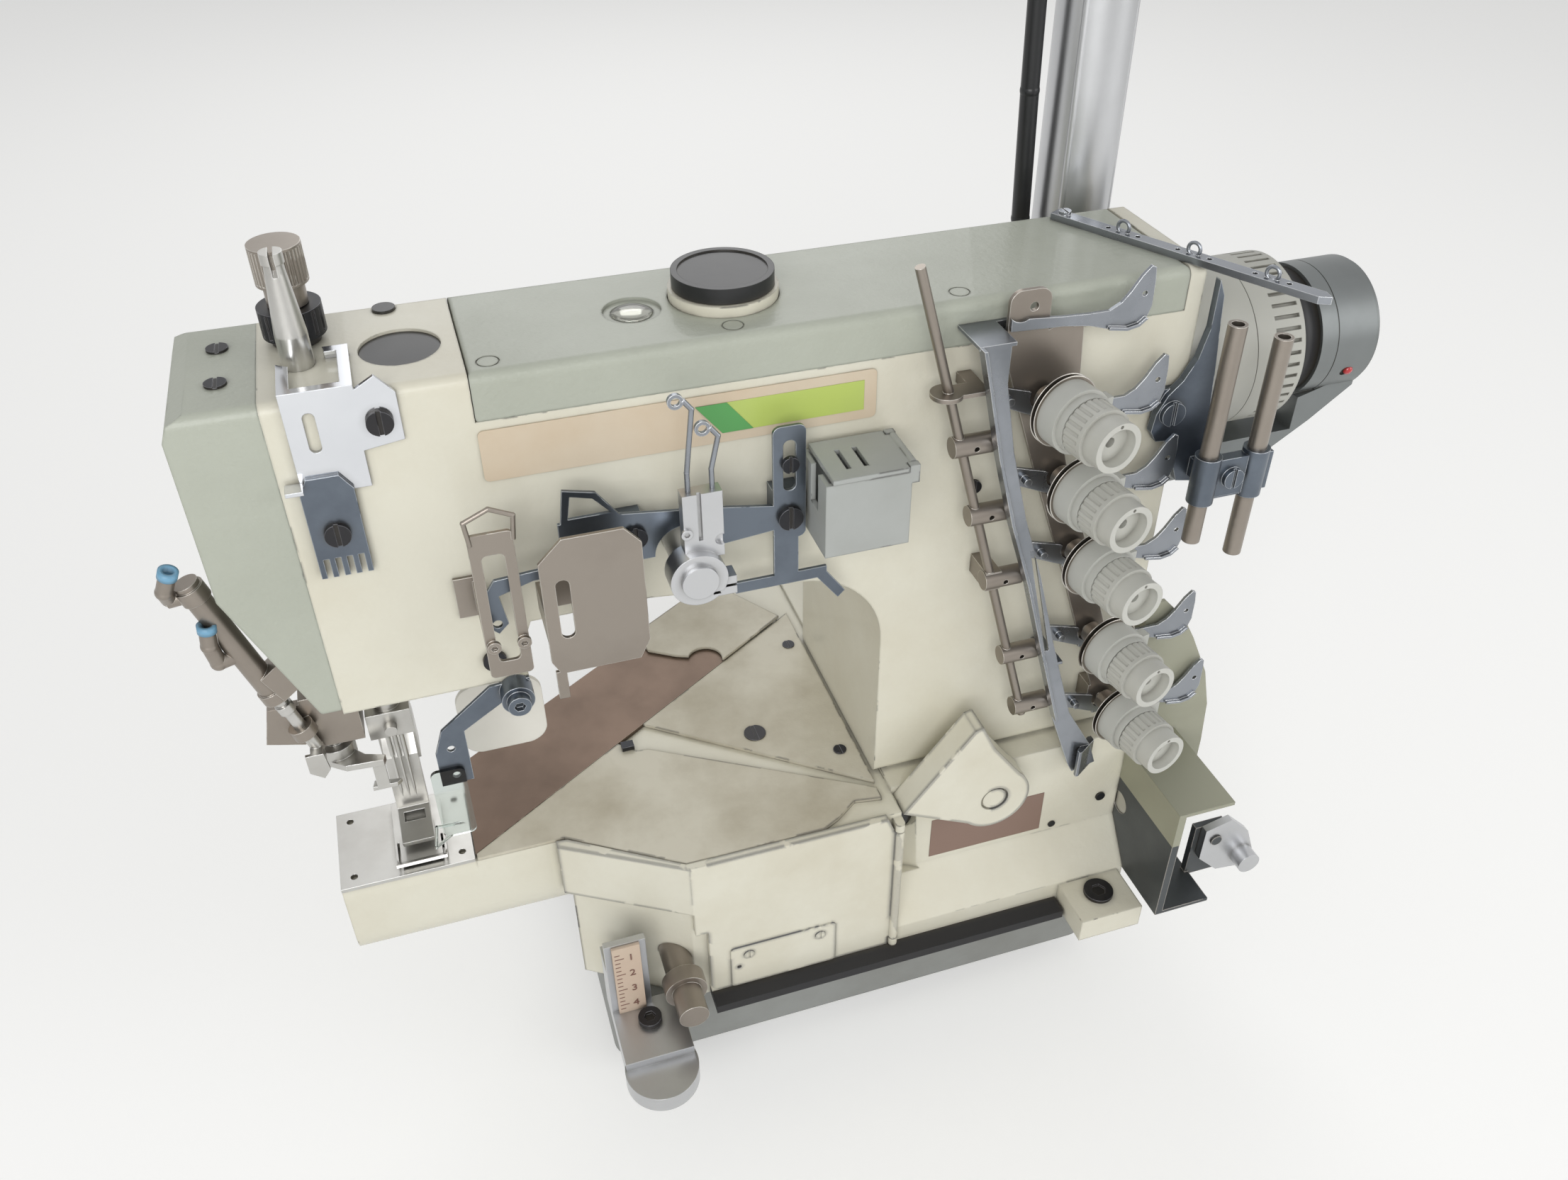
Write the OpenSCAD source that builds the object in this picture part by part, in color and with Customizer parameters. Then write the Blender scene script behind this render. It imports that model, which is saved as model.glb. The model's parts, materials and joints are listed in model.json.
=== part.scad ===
// Industrial interlock sewing machine head for knitted cloth.
// X runs along the arm towards the handwheel, Y runs away from the operator, Z is up.
// The origin is the middle of the underside of the rubber feet.

/* [Overall] */
// Place of the arm's lower front left corner, from the middle of the base
arm_x = -202.9; // [-230:0.1:-170]
// Place of the arm's front face, from the middle of the base
arm_y = -70; // [-90:1:-50]
// Clear height between the bed and the sewing head
sewing_space = 103; // [95:1:120]

/* [Base and bed] */
// Height of each rubber foot
foot_h = 12; // [8:1:20]
// Diameter of each rubber foot
foot_d = 34; // [20:1:40]
// Depth of the oil pan under the base casting
pan_h = 46; // [30:1:70]
// Height of the base casting, from the pan's rim to the top of the bed
base_h = 97; // [85:1:120]
// Thickness of the bed's cover plates
bed_plate_t = 2; // [1.5:0.5:3]
// Reach of the bed in front of the arm's front face
bed_front = 26; // [20:1:35]
// Reach of the bed behind the arm's front face
bed_rear = 195; // [180:1:220]
// Reach of the base casting in front of the column
base_front = 12; // [8:1:16]
// Width of the bed arm below the needles
bed_arm_w = 46; // [40:1:52]
// Reach of the bed arm to the left of the sewing head
bed_arm_end = 22; // [15:1:40]
// Angle of the slide plate, seen from above
slide_angle = 33.4; // [30:0.2:37]
// Width of the slide plate
slide_w = 49.6; // [40:0.2:54]
// Thickness of the front cover
front_cover_t = 3.7; // [3:0.1:5]

/* [Arm and column] */
// Length of the arm from the face cover's seam to the belt cover
arm_len = 355; // [330:1:380]
// Depth of the arm
arm_d = 69; // [60:1:80]
// Height of the arm at the sewing head
arm_h = 135; // [120:1:150]
// Radius of the arm's long edges
arm_edge = 4; // [2:0.5:8]
// Length of the deep sewing head
head_len = 66; // [60:1:72]
// Rise of the arm's underside beyond the sewing head
arm_rise = 27; // [18:1:30]
// Left side of the column
column_x = 224; // [215:1:235]
// Depth of the column
column_d = 115; // [100:1:130]
// Radius of the hollow between arm and column
column_fillet = 40; // [25:1:45]
// Width of the face cover
face_w = 31; // [26:1:36]
// Height at which the slanting side of the face cover ends
face_rise = 62; // [50:1:75]
// Lean of the wiper cylinder beside that slanting side
wiper_lean = 16.6; // [10:0.1:22]
// Left end of the top cover
top_cover_x = 68; // [60:1:75]
// Length of the top cover
top_cover_w = 280; // [260:1:284]
// Height of the top cover's front wall
top_cover_h = 18; // [14:1:24]
// Wall of the top cover
top_cover_t = 3; // [2:0.5:5]

/* [Drive] */
// Height of the upper shaft above the arm's underside
shaft_z = 81; // [76:1:86]
// Distance of the upper shaft behind the arm's front face
shaft_y = 34.5; // [32:0.5:37]
// Radius of the drum cover and of the handwheel
drum_r = 36.5; // [34:0.5:38]
// Width of the drum cover beside the arm
belt_cover_w = 33; // [28:1:38]
// Width of the handwheel's rim
wheel_w = 23; // [18:1:28]
// Number of slots round the handwheel's rim
wheel_slots = 44; // [24:4:60]
// Radius of the position detector
detector_r = 29.5; // [26:0.5:32]
// Length of the position detector, with its black collar
detector_w = 44; // [38:1:50]

/* [Needle and presser] */
// Distance of the needle bar from the face cover's seam
needle_x = 14; // [12:0.5:18]
// Distance of the needle bar behind the arm's front face
needle_y = 27; // [24:0.5:30]
// Radius of the needle bar
needle_bar_r = 5.5; // [4:0.1:6.5]
// Running clearance of a shaft in its bore
run_gap = 0.05; // [0.01:0.01:0.1]
// Clearance between pieces that move past each other
slide_gap = 0.3; // [0.2:0.05:0.5]
// Distance of the pressure screw behind the arm's front face
pressure_y = 47; // [45:0.5:52]
// Radius of the pressure screw's knurled head
pressure_r = 9; // [7:0.5:11]

/* [Thread tension] */
// Number of tension posts
post_count = 5; // [3:1:5]
// Lean of the row of tension posts from upright
row_lean = 17.1; // [14:0.1:20]
// Turn of the tension posts to the right of straight ahead
post_turn = 10; // [0:1:14]
// Radius of the tension discs
disc_r = 15; // [12:0.5:16]
// Radius of the grey tension housing
housing_r = 13.5; // [11:0.5:14]
// Length of the grey tension housing
housing_len = 13; // [10:0.5:15]
// Radius of the tension knob's front end
knob_r = 10.3; // [8:0.1:11]
// Length of the tension knob
knob_len = 18; // [14:0.5:20]
// Number of flutes round a tension knob
flute_count = 24; // [12:2:36]

/* [Covers and guides] */
// Diameter of the oil cap
oil_cap_d = 39; // [34:1:44]
// Thickness of the oil cap
oil_cap_h = 6; // [4:0.5:9]
// Width of the lubricator box
lube_w = 34; // [28:1:36]
// Height of the lubricator box
lube_h = 32; // [26:1:36]
// Depth of the lubricator box
lube_d = 28; // [22:1:32]
// Thickness of the bent sheet guides
sheet_t = 1.5; // [1:0.1:2]
// Diameter of the air cylinder
air_d = 36; // [32:1:40]
// Length of the air cylinder's barrel
air_len = 108; // [80:1:150]

/* [Hidden] */
$fn = 48;

cream = "#d9d2bc";
grey_green = "#a9aea1";
nickel = "#a39c93";
blued = "#6d7680";
chrome = "#c9ccd1";
dark = "#2d2d2f";
plastic_grey = "#a7a8a6";

bed_top = foot_h + pan_h + base_h;
arm_z = bed_top + sewing_space;
bed_z = -sewing_space;
plate_z = bed_z - bed_plate_t;
rim_z = bed_z - base_h;
pan_z = rim_z - pan_h;
arm_end = arm_len;

// Slide plate: its front edge starts at this point and runs along slide_dir
slide_start = [63.4, 26.2];
slide_dir = [cos(slide_angle), sin(slide_angle)];
slide_side = [-sin(slide_angle), cos(slide_angle)];
function slide_point(along, across) = slide_start + along * slide_dir + across * slide_side;
// Point on the slide plate's front edge above a given x
function slide_front_y(x) = slide_start[1] + (x - slide_start[0]) * tan(slide_angle);

// Vertical hinge axis of the front cover
front_hinge = [column_x + 1.8, -bed_front - 4];

// Left side of the lubricator box, and the hinge axis of its lid (x and z)
lube_x = 186;
lid_axis = [lube_x + lube_w + 1.5, 54 + lube_h + slide_gap + 1];

// Axis of the looper cam's shaft (y and z)
cam_y = -16;
cam_z = -150;

// Axis of the air cylinder behind the arm
air_x = arm_end - 6.5;
air_y = arm_d + air_d / 2 + 11;

// Places of the looper thread tubes (x), and their distance in front of the arm (y)
tube_x = [arm_end + 1, arm_end + 24];
tube_y = -24;

// Wiper cylinder: foot of its axis, which slants up along the side of the head
wiper_foot = [-23, 10, 7];
wiper_dir = [-sin(wiper_lean), 0, cos(wiper_lean)];
function wiper_at(along) = wiper_foot + along * wiper_dir;
// Slanting left side of the face cover at a height z
function cover_side(z) = -7 - (face_w - 7) * z / face_rise;

// Tension row: distances of the posts along the leaning row
post_place = [0, 40.5, 81.5, 133, 180];
row_dir = [sin(row_lean), 0, -cos(row_lean)];
row_start = [284.5, -22, 96];
post_dir = [sin(post_turn), -cos(post_turn), 0];
function post_seat(i) = row_start + post_place[i] * row_dir;

// Moves a piece from the arm's corner to the frame at the middle of the base
module at_arm() {
    translate([arm_x, arm_y, arm_z]) children();
}

// Box between two opposite corners
module block(low, high) {
    translate(low) cube(high - low);
}

// Rectangle with true round corners, from its lower left corner
module round_rect(w, h, r) {
    translate([r, 0]) square([w - 2 * r, h]);
    translate([0, r]) square([w, h - 2 * r]);
    for (x = [r, w - r], y = [r, h - r]) translate([x, y]) circle(r);
}

// Extrudes an outline drawn in x and z from y = low to y = high
module along_y(low, high) {
    translate([0, high, 0]) rotate([90, 0, 0]) linear_extrude(high - low) children();
}

// Extrudes an outline drawn in y and z from x = low to x = high
module along_x(low, high) {
    translate([low, 0, 0]) rotate([90, 0, 90]) linear_extrude(high - low) children();
}

// Extrudes an outline drawn in x and y from z = low to z = high
module along_z(low, high) {
    translate([0, 0, low]) linear_extrude(high - low) children();
}

// Round bar between two points
module rod(a, b, r) {
    v = b - a;
    l = norm(v);
    translate(a) rotate([0, acos(v[2] / l), atan2(v[1], v[0])]) cylinder(h = l, r = r);
}

// Chain of round bars through a list of points, with slightly larger balls at the bends
module bent_rod(points, r) {
    for (i = [0 : len(points) - 2]) rod(points[i], points[i + 1], r);
    for (i = [1 : len(points) - 2]) translate(points[i]) sphere(r * 1.06);
}

// Cylinder along y from low to high
module pin_y(x, z, low, high, r) {
    translate([x, high, z]) rotate([90, 0, 0]) cylinder(h = high - low, r = r);
}

// Cylinder along x from low to high
module pin_x(y, z, low, high, r) {
    translate([low, y, z]) rotate([0, 90, 0]) cylinder(h = high - low, r = r);
}

// Cylinder along z from low to high
module pin_z(x, y, low, high, r) {
    translate([x, y, low]) cylinder(h = high - low, r = r);
}

// Cheese head screw that stands out of a face, along +z of its own frame
module slot_head(r, h) {
    slot_w = r / 3;
    difference() {
        cylinder(h = h, r = r);
        translate([-slot_w / 2, -r - 1, h * 0.55]) cube([slot_w, 2 * r + 2, h]);
    }
}

// Socket head screw that stands out of a face, along +z of its own frame
module socket_head(r, h) {
    difference() {
        cylinder(h = h, r = r);
        translate([0, 0, h * 0.4]) cylinder(h = h, r = r * 0.5, $fn = 6);
    }
}

// Turns a piece drawn along +z to face the operator at a point
module facing_front(x, y, z) {
    translate([x, y, z]) rotate([90, 0, 0]) children();
}

// Outline of the arm and column seen along the arm
module arm_section() {
    translate([0, bed_z]) round_rect(arm_d, arm_h - bed_z, arm_edge);
}

// Open space under the arm, seen from the front
module sewing_window() {
    top_x = column_x - column_fillet;
    top_z = column_fillet / 2;
    deep = bed_z - 1;
    difference() {
        polygon([[-1, deep], [-1, 0], [head_len, 0], [head_len + 10, arm_rise],
            [head_len + 58, arm_rise], [top_x, top_z], [top_x, top_z - column_fillet],
            [column_x, top_z - column_fillet], [column_x, deep]]);
    }
    translate([top_x, top_z - column_fillet]) intersection() {
        circle(column_fillet);
        square(column_fillet);
    }
}

// Plan of the bed, with the slanting edge behind the slide plate
module bed_plan(left) {
    back = slide_point(0, slide_w);
    far = column_x + 4;
    edge = back[1] + (far - back[0]) * tan(slide_angle);
    polygon([[far, -bed_front], [125, -bed_front], [76, 6], [left, 6],
        [left, back[1] + (left - back[0]) * tan(slide_angle)], [far, edge]]);
}

module machine_frame() {
    bore_x = needle_x;
    hinge = front_hinge;
    color(cream) at_arm() difference() {
        union() {
            difference() {
                along_x(0, arm_end) arm_section();
                along_y(-1, arm_d + 1) sewing_window();
                block([top_cover_x, -1, arm_h - top_cover_h],
                    [top_cover_x + top_cover_w, arm_d + 1, arm_h + 1]);
            }
            // Column behind the arm
            along_z(bed_z, shaft_z - 5) translate([column_x, arm_d - 20])
                round_rect(arm_end - column_x, column_d - arm_d + 20, 10);
            // Base casting, with the flared foot under the column
            along_x(column_x + 4, arm_end) polygon([[-base_front, bed_z], [bed_rear, bed_z],
                [bed_rear, rim_z], [-base_front - 17, rim_z], [-base_front - 17, rim_z + 15],
                [-base_front, rim_z + 38]]);
            along_z(bed_z - 32, plate_z) bed_plan(36.5);
            along_z(rim_z, bed_z - 32) bed_plan(80);
            // Bed arm below the needles
            along_x(-bed_arm_end, 84) translate([6, bed_z - 50]) difference() {
                round_rect(bed_arm_w, 60, 18);
                translate([-1, 50 - bed_plate_t]) square([bed_arm_w + 2, 20]);
            }
            // Lug under the arm that carries the eye guard
            block([60, 0, -11], [72, 8, 1]);
            // Hinge lugs of the front cover, with their pin
            for (z = [-194.4, -112]) {
                block([hinge[0] - 2.3, hinge[1], z], [hinge[0] + 2.3, -bed_front, z + 4.6]);
                pin_z(hinge[0], hinge[1], z, z + 4.6, 2.3);
            }
            pin_z(hinge[0], hinge[1], -192, -110, 1.5);
            // Oil filler neck and the ledge that carries the top cover
            pin_z(168, 36, arm_h - top_cover_h - 1, arm_h + 4, oil_cap_d / 2 + 1.5);
            // Fixing lugs, front and rear
            for (y = [-55, bed_rear - 4])
                block([arm_end - 37, y, rim_z], [arm_end - 3, y + 30, rim_z + 14]);
        }
        // Bores of the needle bar, the presser bar and the pressure screw
        pin_z(bore_x, needle_y, -1, arm_h + 1, needle_bar_r + run_gap);
        pin_z(bore_x, pressure_y, arm_h - 30, arm_h + 1, 5 + run_gap);
        pin_z(bore_x, pressure_y, -1, arm_h - 40, 4 + run_gap);
        // Recesses of the hole plugs in the top of the arm
        pin_z(48, 30, arm_h - 2, arm_h + 1, 14.3);
        pin_z(45, 63, arm_h - 2, arm_h + 1, 4.3);
        // Mouth of the oil filler
        pin_z(168, 36, arm_h - 14, arm_h + 5, 13);
        // Well below the needle plate, open to the slots
        block([0, 14, bed_z - 26], [30, 44, bed_z + 1]);
        // Pocket that holds the slide plate under the rear plate
        along_z(plate_z - slide_gap, bed_z + 1) slide_strip(-40, 184, -slide_gap, slide_w + 2);
        // Scoop beside the front cover, with the oil gauge
        translate([column_x + 8, -base_front - 8, rim_z + 62]) rotate([-8, 0, 0])
            cylinder(h = 50, r1 = 17, r2 = 10, center = true);
        pin_y(column_x + 7, -128, -bed_front - 1, -base_front + 8, 11.3);
        // Hole of the stitch length knob
        pin_y(117, -170, -bed_front - 1, -bed_front + 18, 7 + run_gap);
        // Bore of the handwheel shaft
        pin_x(shaft_y, shaft_z, arm_end - 12, arm_end + 1, 9 + run_gap);
        // Bore of the take-up shaft
        pin_y(137, 55, -1, 30, 7 + run_gap);
        // Bore of the wedge cover's pivot
        pin_y(276, -112, -base_front - 1, -base_front + 12, 4 + run_gap);
        // Bore of the eye guard's pivot
        pin_y(66, -4, -1, 9, 3 + run_gap);
        // Guide bore of the feed dog
        pin_y(14.5, bed_z - 8, 43, 53, 2.5 + run_gap);
        // Mounting bolt holes through the lugs
        for (y = [-40, bed_rear + 12]) pin_z(arm_end - 20, y, rim_z - 1, rim_z + 15, 4.5);
    }
}

// Strip of the bed along the slide plate, between two distances from its front edge
module slide_strip(from, to, near, far) {
    intersection() {
        polygon([slide_point(from, near), slide_point(to, near),
            slide_point(to, far), slide_point(from, far)]);
        translate([36.5, -40]) square([column_x - 36.5, 300]);
    }
}

module oil_pan() {
    wall = 2;
    color("#8b8d8a") at_arm() difference() {
        union() {
            along_z(pan_z, rim_z) translate([84, -20])
                round_rect(arm_end - 6 - 84, bed_rear + 12, 12);
        }
        along_z(pan_z + wall, rim_z - 4) translate([84 + wall, -20 + wall])
            round_rect(arm_end - 6 - 84 - 2 * wall, bed_rear + 12 - 2 * wall, 10);
        pin_z(99, -2, pan_z - 1, pan_z + wall + 1, 3.2);
    }
}

module rubber_mounts() {
    color(dark) at_arm() {
        for (x = [110, arm_end - 34], y = [8, bed_rear - 36])
            translate([x, y, pan_z - foot_h]) cylinder(h = foot_h, r1 = foot_d / 2, r2 = foot_d / 2 - 3);
        // Seal strip between the base and the table
        along_z(rim_z, rim_z + 5) polygon([[132, -bed_front - 13], [arm_end - 38, -bed_front - 13],
            [arm_end - 38, -base_front - 17], [column_x + 4, -base_front - 17],
            [column_x + 4, -bed_front], [132, -bed_front]]);
    }
}

module bed_plates() {
    low = plate_z;
    latch = [125, 50];
    color(cream) at_arm() {
        // Front plate, between the front cover and the slide plate
        along_z(low, bed_z) polygon([[37, 6], [37, slide_front_y(37) - slide_gap],
            [112, slide_front_y(112) - slide_gap], [120, 50], latch, [column_x - 2, -9],
            [column_x - 2, -16], [209, -14], [198, -22], [190, -bed_front], [125, -bed_front],
            [76, 6]]);
        // Rear plate, a triangle with a bevelled gap along its front edge
        along_z(low, bed_z) polygon([[127, slide_front_y(127) - slide_gap], [column_x - 1.5, -5],
            [column_x - 1.5, slide_front_y(column_x - 1.5) - slide_gap]]);
        // Plate at the back, which overlaps the end of the slide plate
        along_z(bed_z + slide_gap, bed_z + slide_gap + 1.5) difference() {
            polygon([slide_point(138, 0), slide_point(184, 0), slide_point(184, slide_w + 1.5),
                slide_point(124, slide_w + 1.5), slide_point(118, 36), slide_point(124, 22)]);
            translate(slide_point(132, 8)) circle(9);
        }
        along_z(low - 13, bed_z + slide_gap + 1.5)
            polygon([slide_point(124, slide_w), slide_point(184, slide_w),
                slide_point(184, slide_w + 1.5), slide_point(124, slide_w + 1.5)]);
    }
}

module needle_plate() {
    color("#b9b8b3") at_arm() difference() {
        along_z(plate_z, bed_z) polygon([[-bed_arm_end, 6], [36, 6], [36, 6 + bed_arm_w],
            [-bed_arm_end, 6 + bed_arm_w]]);
        // Slots of the feed dog rows
        for (x = [5, 10.5, 16, 21.5]) block([x, 17, plate_z - 1], [x + 3, 42, bed_z + 1]);
        // Slot where the needles pass
        block([6, needle_y - 2, plate_z - 1], [23, needle_y + 2, bed_z + 1]);
        for (x = [-16, 31], y = [12, 46]) pin_z(x, y, plate_z - 1, bed_z + 1, 1.6);
    }
}

module feed_dog() {
    row_gap = slide_gap;
    tooth = 1.8;
    color("#8d8d8d") at_arm() {
        block([5.5, 30, bed_z - 12], [24, 37, bed_z - 4]);
        // Guide pin that slides in the bed arm
        pin_y(14.5, bed_z - 8, 36, 50, 2.5);
        for (x = [5, 10.5, 16, 21.5]) difference() {
            block([x + row_gap, 31, bed_z - 5], [x + 3 - row_gap, 39, bed_z + 0.6]);
            for (y = [31 : tooth : 38]) translate([x - 1, y, bed_z + 0.9]) rotate([45, 0, 0])
                cube([6, 1, 1]);
        }
    }
}

module bed_fittings() {
    color("#3b3b3d") at_arm() {
        for (p = [[215, 104, 3.2], [178, 44, 5.4], [214, 20, 3.2]])
            translate([p[0], p[1], bed_z]) slot_head(p[2], 0.6);
        // Spring latch where the three plates meet
        block([113, 51.5, bed_z], [119, 56, bed_z + 2.5]);
        // Bolts of the fixing lugs and of the regulator block
        for (y = [-40, bed_rear + 12]) translate([arm_end - 20, y, rim_z + 14]) {
            socket_head(7.5, 2);
            translate([0, 0, -14]) cylinder(h = 14, r = 4.4);
        }
        translate([99, -42, rim_z + 14]) socket_head(5.5, 3);
    }
}

module hole_plugs() {
    color("#3c3e3f") at_arm() {
        pin_z(48, 30, arm_h - 2, arm_h - 1, 14.2);
        pin_z(45, 63, arm_h - 2, arm_h + 1, 4.2);
        pin_y(345, -146, -base_front - 1, -base_front, 2.6);
        pin_y(319, -158, -base_front - 0.6, -base_front, 2);
        // Oil gauge beside the front cover
        pin_y(column_x + 7, -128, -base_front + 4, -base_front + 8, 11);
    }
}

module marking_plates() {
    color("#8a7468") at_arm() {
        block([251, -base_front - 0.2, -159], [312, -base_front, -133]);
        // Scale of the stitch length
        block([86, -34.5, rim_z + 14], [99, -33, rim_z + 61]);
        // Label strip on the arm
        along_y(-0.4, 0) translate([68, 93]) round_rect(149, 20.5, 2);
    }
}

module regulator_block() {
    color("#a7a9aa") at_arm() difference() {
        union() {
            block([83, -62, rim_z], [115, -bed_front - front_cover_t, rim_z + 14]);
            pin_z(99, -64, rim_z, rim_z + 9, 17);
            block([83, -bed_front - front_cover_t - 3.3, rim_z + 13], [102, -bed_front - front_cover_t, rim_z + 62]);
            block([83, -bed_front - front_cover_t, rim_z], [102, -bed_front + 12, rim_z + 40]);
        }
        pin_z(99, -42, rim_z + 6, rim_z + 15, 2.5);
    }
}

module face_cover() {
    color(grey_green) at_arm() difference() {
        intersection() {
            along_x(-face_w, 0) translate([0, 0]) round_rect(arm_d, arm_h, arm_edge);
            along_y(-1, arm_d + 1) polygon([[0, 0], [-7, 0], [-face_w, face_rise], [-face_w, arm_h - 8],
                [-face_w + 2.3, arm_h - 2.3], [-face_w + 8, arm_h], [0, arm_h]]);
        }
        block([-face_w + 4, 4, -1], [-3, arm_d - 4, arm_h - 4]);
    }
}

module top_cover() {
    x0 = top_cover_x + slide_gap;
    x1 = top_cover_x + top_cover_w - slide_gap;
    low = arm_h - top_cover_h;
    color(grey_green) at_arm() difference() {
        intersection() {
            along_x(x0, x1) arm_section();
            along_y(-1, arm_d + 1) translate([x0, low]) round_rect(x1 - x0, top_cover_h, 1.5);
        }
        block([x0 + top_cover_t, top_cover_t, low - 1],
            [x1 - top_cover_t, arm_d - top_cover_t, arm_h - top_cover_t]);
        pin_z(168, 36, low - 1, arm_h + 1, oil_cap_d / 2 + 1.5 + slide_gap);
        // Recess and seat of the sight glass
        pin_z(132, 33, arm_h - 1.2, arm_h + 1, 11);
        pin_z(132, 33, low - 1, arm_h + 1, 8 + run_gap);
        // Shallow rings round the screw plugs
        for (x = [76, 164, 253]) translate([x, 9, arm_h - 0.5]) difference() {
            cylinder(h = 1, r = 4.2);
            translate([0, 0, -1]) cylinder(h = 3, r = 3.6);
        }
    }
}

module sight_glass() {
    color("#c6cbbf") at_arm() translate([132, 33, 0]) {
        pin_z(0, 0, arm_h - top_cover_t, arm_h - 1, 8);
        intersection() {
            translate([0, 0, arm_h - 13]) sphere(14.4);
            pin_z(0, 0, arm_h - 1, arm_h + 3, 8);
        }
    }
}

module oil_cap() {
    top = arm_h + 4 + slide_gap;
    color("#1f2022") at_arm() translate([168, 36, 0]) {
        difference() {
            union() {
                pin_z(0, 0, top, top + oil_cap_h, oil_cap_d / 2);
                pin_z(0, 0, top - 10, top, 13 - slide_gap);
            }
            pin_z(0, 0, top + oil_cap_h - 0.6, top + oil_cap_h + 1, oil_cap_d / 2 - 2.5);
        }
    }
}

module needle_thread_guide() {
    t = sheet_t;
    color(chrome) at_arm() {
        difference() {
            union() {
                // Front plate with its ear
                along_y(-t, 0) polygon([[7, 100], [30, 100], [30, 114], [44, 116], [44, 134],
                    [38, 141], [31, 137], [31, arm_h + 4], [7, arm_h + 4]]);
                // Arch over the top of the arm
                block([7, -t, arm_h + 4 - t], [31, 30, arm_h + 4]);
                block([7, 30 - t, arm_h], [31, 30, arm_h + 4]);
                // Prong on the left
                block([2, -t - 6, 104], [8, -t, 104 + t]);
            }
            block([11, 2, arm_h], [27, 26, arm_h + 5]);
            pin_z(needle_x, needle_y, arm_h, arm_h + 5, 9);
            along_y(-t - 1, 1) translate([13, 116]) round_rect(4, 15, 1.9);
        }
    }
}

module eyelet_plate() {
    t = sheet_t;
    color(blued) at_arm() difference() {
        union() {
            along_y(-2 * t, -t) polygon([[6, 74], [24, 74], [24, 101], [20, 107], [9, 107], [6, 101]]);
            // Comb of fingers for the needle threads
            for (x = [6 : 4 : 22]) block([x, -2 * t, 66], [x + 2, -t, 75]);
            block([8, -t, 76], [22, 0, 98]);
        }
        for (x = [9 : 4 : 21]) pin_y(x, 71.5, -2 * t - 1, 1, 0.9);
        pin_y(15, 84, -2 * t - 1, 1, 3.2);
    }
}

module thread_slot_bracket() {
    t = sheet_t;
    front = -26;
    color(nickel) at_arm() {
        difference() {
            along_y(front, front + t) translate([57, 24]) round_rect(16, 64, 2);
            along_y(front - 1, front + t + 1) translate([61, 31]) round_rect(8, 48, 2);
        }
        // Foot that reaches back to the arm
        block([57, front, 38], [57 + t, 0, 52]);
        block([50, -t, 36], [57 + t, 0, 54]);
        bent_rod([[58, front + 0.5, 84], [57, front, 94], [66, front, 98], [74, front, 94],
            [73, front + 0.5, 84]], 0.9);
        for (x = [60, 71]) translate([x, front, 39]) facing_front(0, 0, 0) socket_head(2.6, 1.6);
    }
}

module take_up_guard() {
    t = sheet_t;
    front = -36;
    color(nickel) at_arm() {
        difference() {
            along_y(front, front + t) polygon([[79, 34], [82, 28], [112, 28], [116, 36], [116, 80],
                [110, 87], [88, 87], [79, 78]]);
            along_y(front - 1, front + t + 1) translate([84, 44]) round_rect(5, 26, 2.4);
        }
        block([79, front, 42], [79 + t, -12, 54]);
        block([80, front, 16], [84, front + t, 29]);
        block([79, -12 - t, 42], [98, -12, 54]);
    }
}

module take_up_bracket() {
    t = sheet_t;
    front = -12;
    color(blued) at_arm() {
        difference() {
            union() {
                along_y(front, front + t) polygon([[90, 42], [108, 42], [112, 55], [150, 55],
                    [172, 57], [185, 54], [185, 66], [173, 68], [150, 72], [112, 77], [90, 77]]);
                // Slotted plate on the right
                along_y(front, front + t) translate([172, 52]) round_rect(13, 50, 3);
                // Lower arms
                along_y(front, front + t) polygon([[172, 34], [182, 34], [182, 54], [172, 54]]);
                along_y(front, front + t) polygon([[156, 30], [194, 30], [194, 35], [156, 35]]);
                along_y(front, front + t) polygon([[192, 35], [190, 30], [199, 18], [202, 21]]);
                // Spacers to the arm
                block([112, front, 57], [122, 0, 72]);
                block([173, front, 60], [184, 0, 72]);
            }
            pin_y(137, 55, front - 1, 1, 12);
            along_y(front - 1, front + t + 1) translate([176, 74]) round_rect(5, 22, 2.4);
        }
        // Left arm, a bent strip in front of the bar, with its eyelet
        block([100, front - 6, 60], [106, front, 64]);
        difference() {
            along_y(front - 6, front - 6 + t) polygon([[106, 60], [106, 64], [78, 63], [64, 62],
                [60, 56], [59, 42], [63, 38], [67, 42], [65, 55], [78, 59]]);
            pin_y(63, 42.5, front - 7, front, 1.8);
        }
        // Triangular thread loop above the bar
        along_y(front, front + t) difference() {
            polygon([[91, 76], [93, 91], [105, 88], [115, 74]]);
            polygon([[94, 78.5], [95.6, 88], [103.6, 85.8], [110, 78.5]]);
        }
    }
}

module slotted_screws() {
    front = [
        [60, 12, 4.6], [262, 52, 3]
    ];
    color("#8f8c87") at_arm() {
        for (s = front) facing_front(s[0], 0, s[1]) slot_head(s[2], 2);
        facing_front(37, -sheet_t, 124) slot_head(4.6, 2);
        facing_front(15, -2 * sheet_t, 84) {
            slot_head(4.6, 2);
            translate([0, 0, -3]) cylinder(h = 3, r = 3.1);
        }
        facing_front(178.5, -12, 62) slot_head(5, 2.2);
        facing_front(178.5, -12, 86) slot_head(3.4, 2);
        facing_front(118, -12, 66) slot_head(4.4, 2.2);
        for (y = [21, 48]) translate([-13, y, arm_h]) slot_head(3.8, 1);
    }
}

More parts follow.
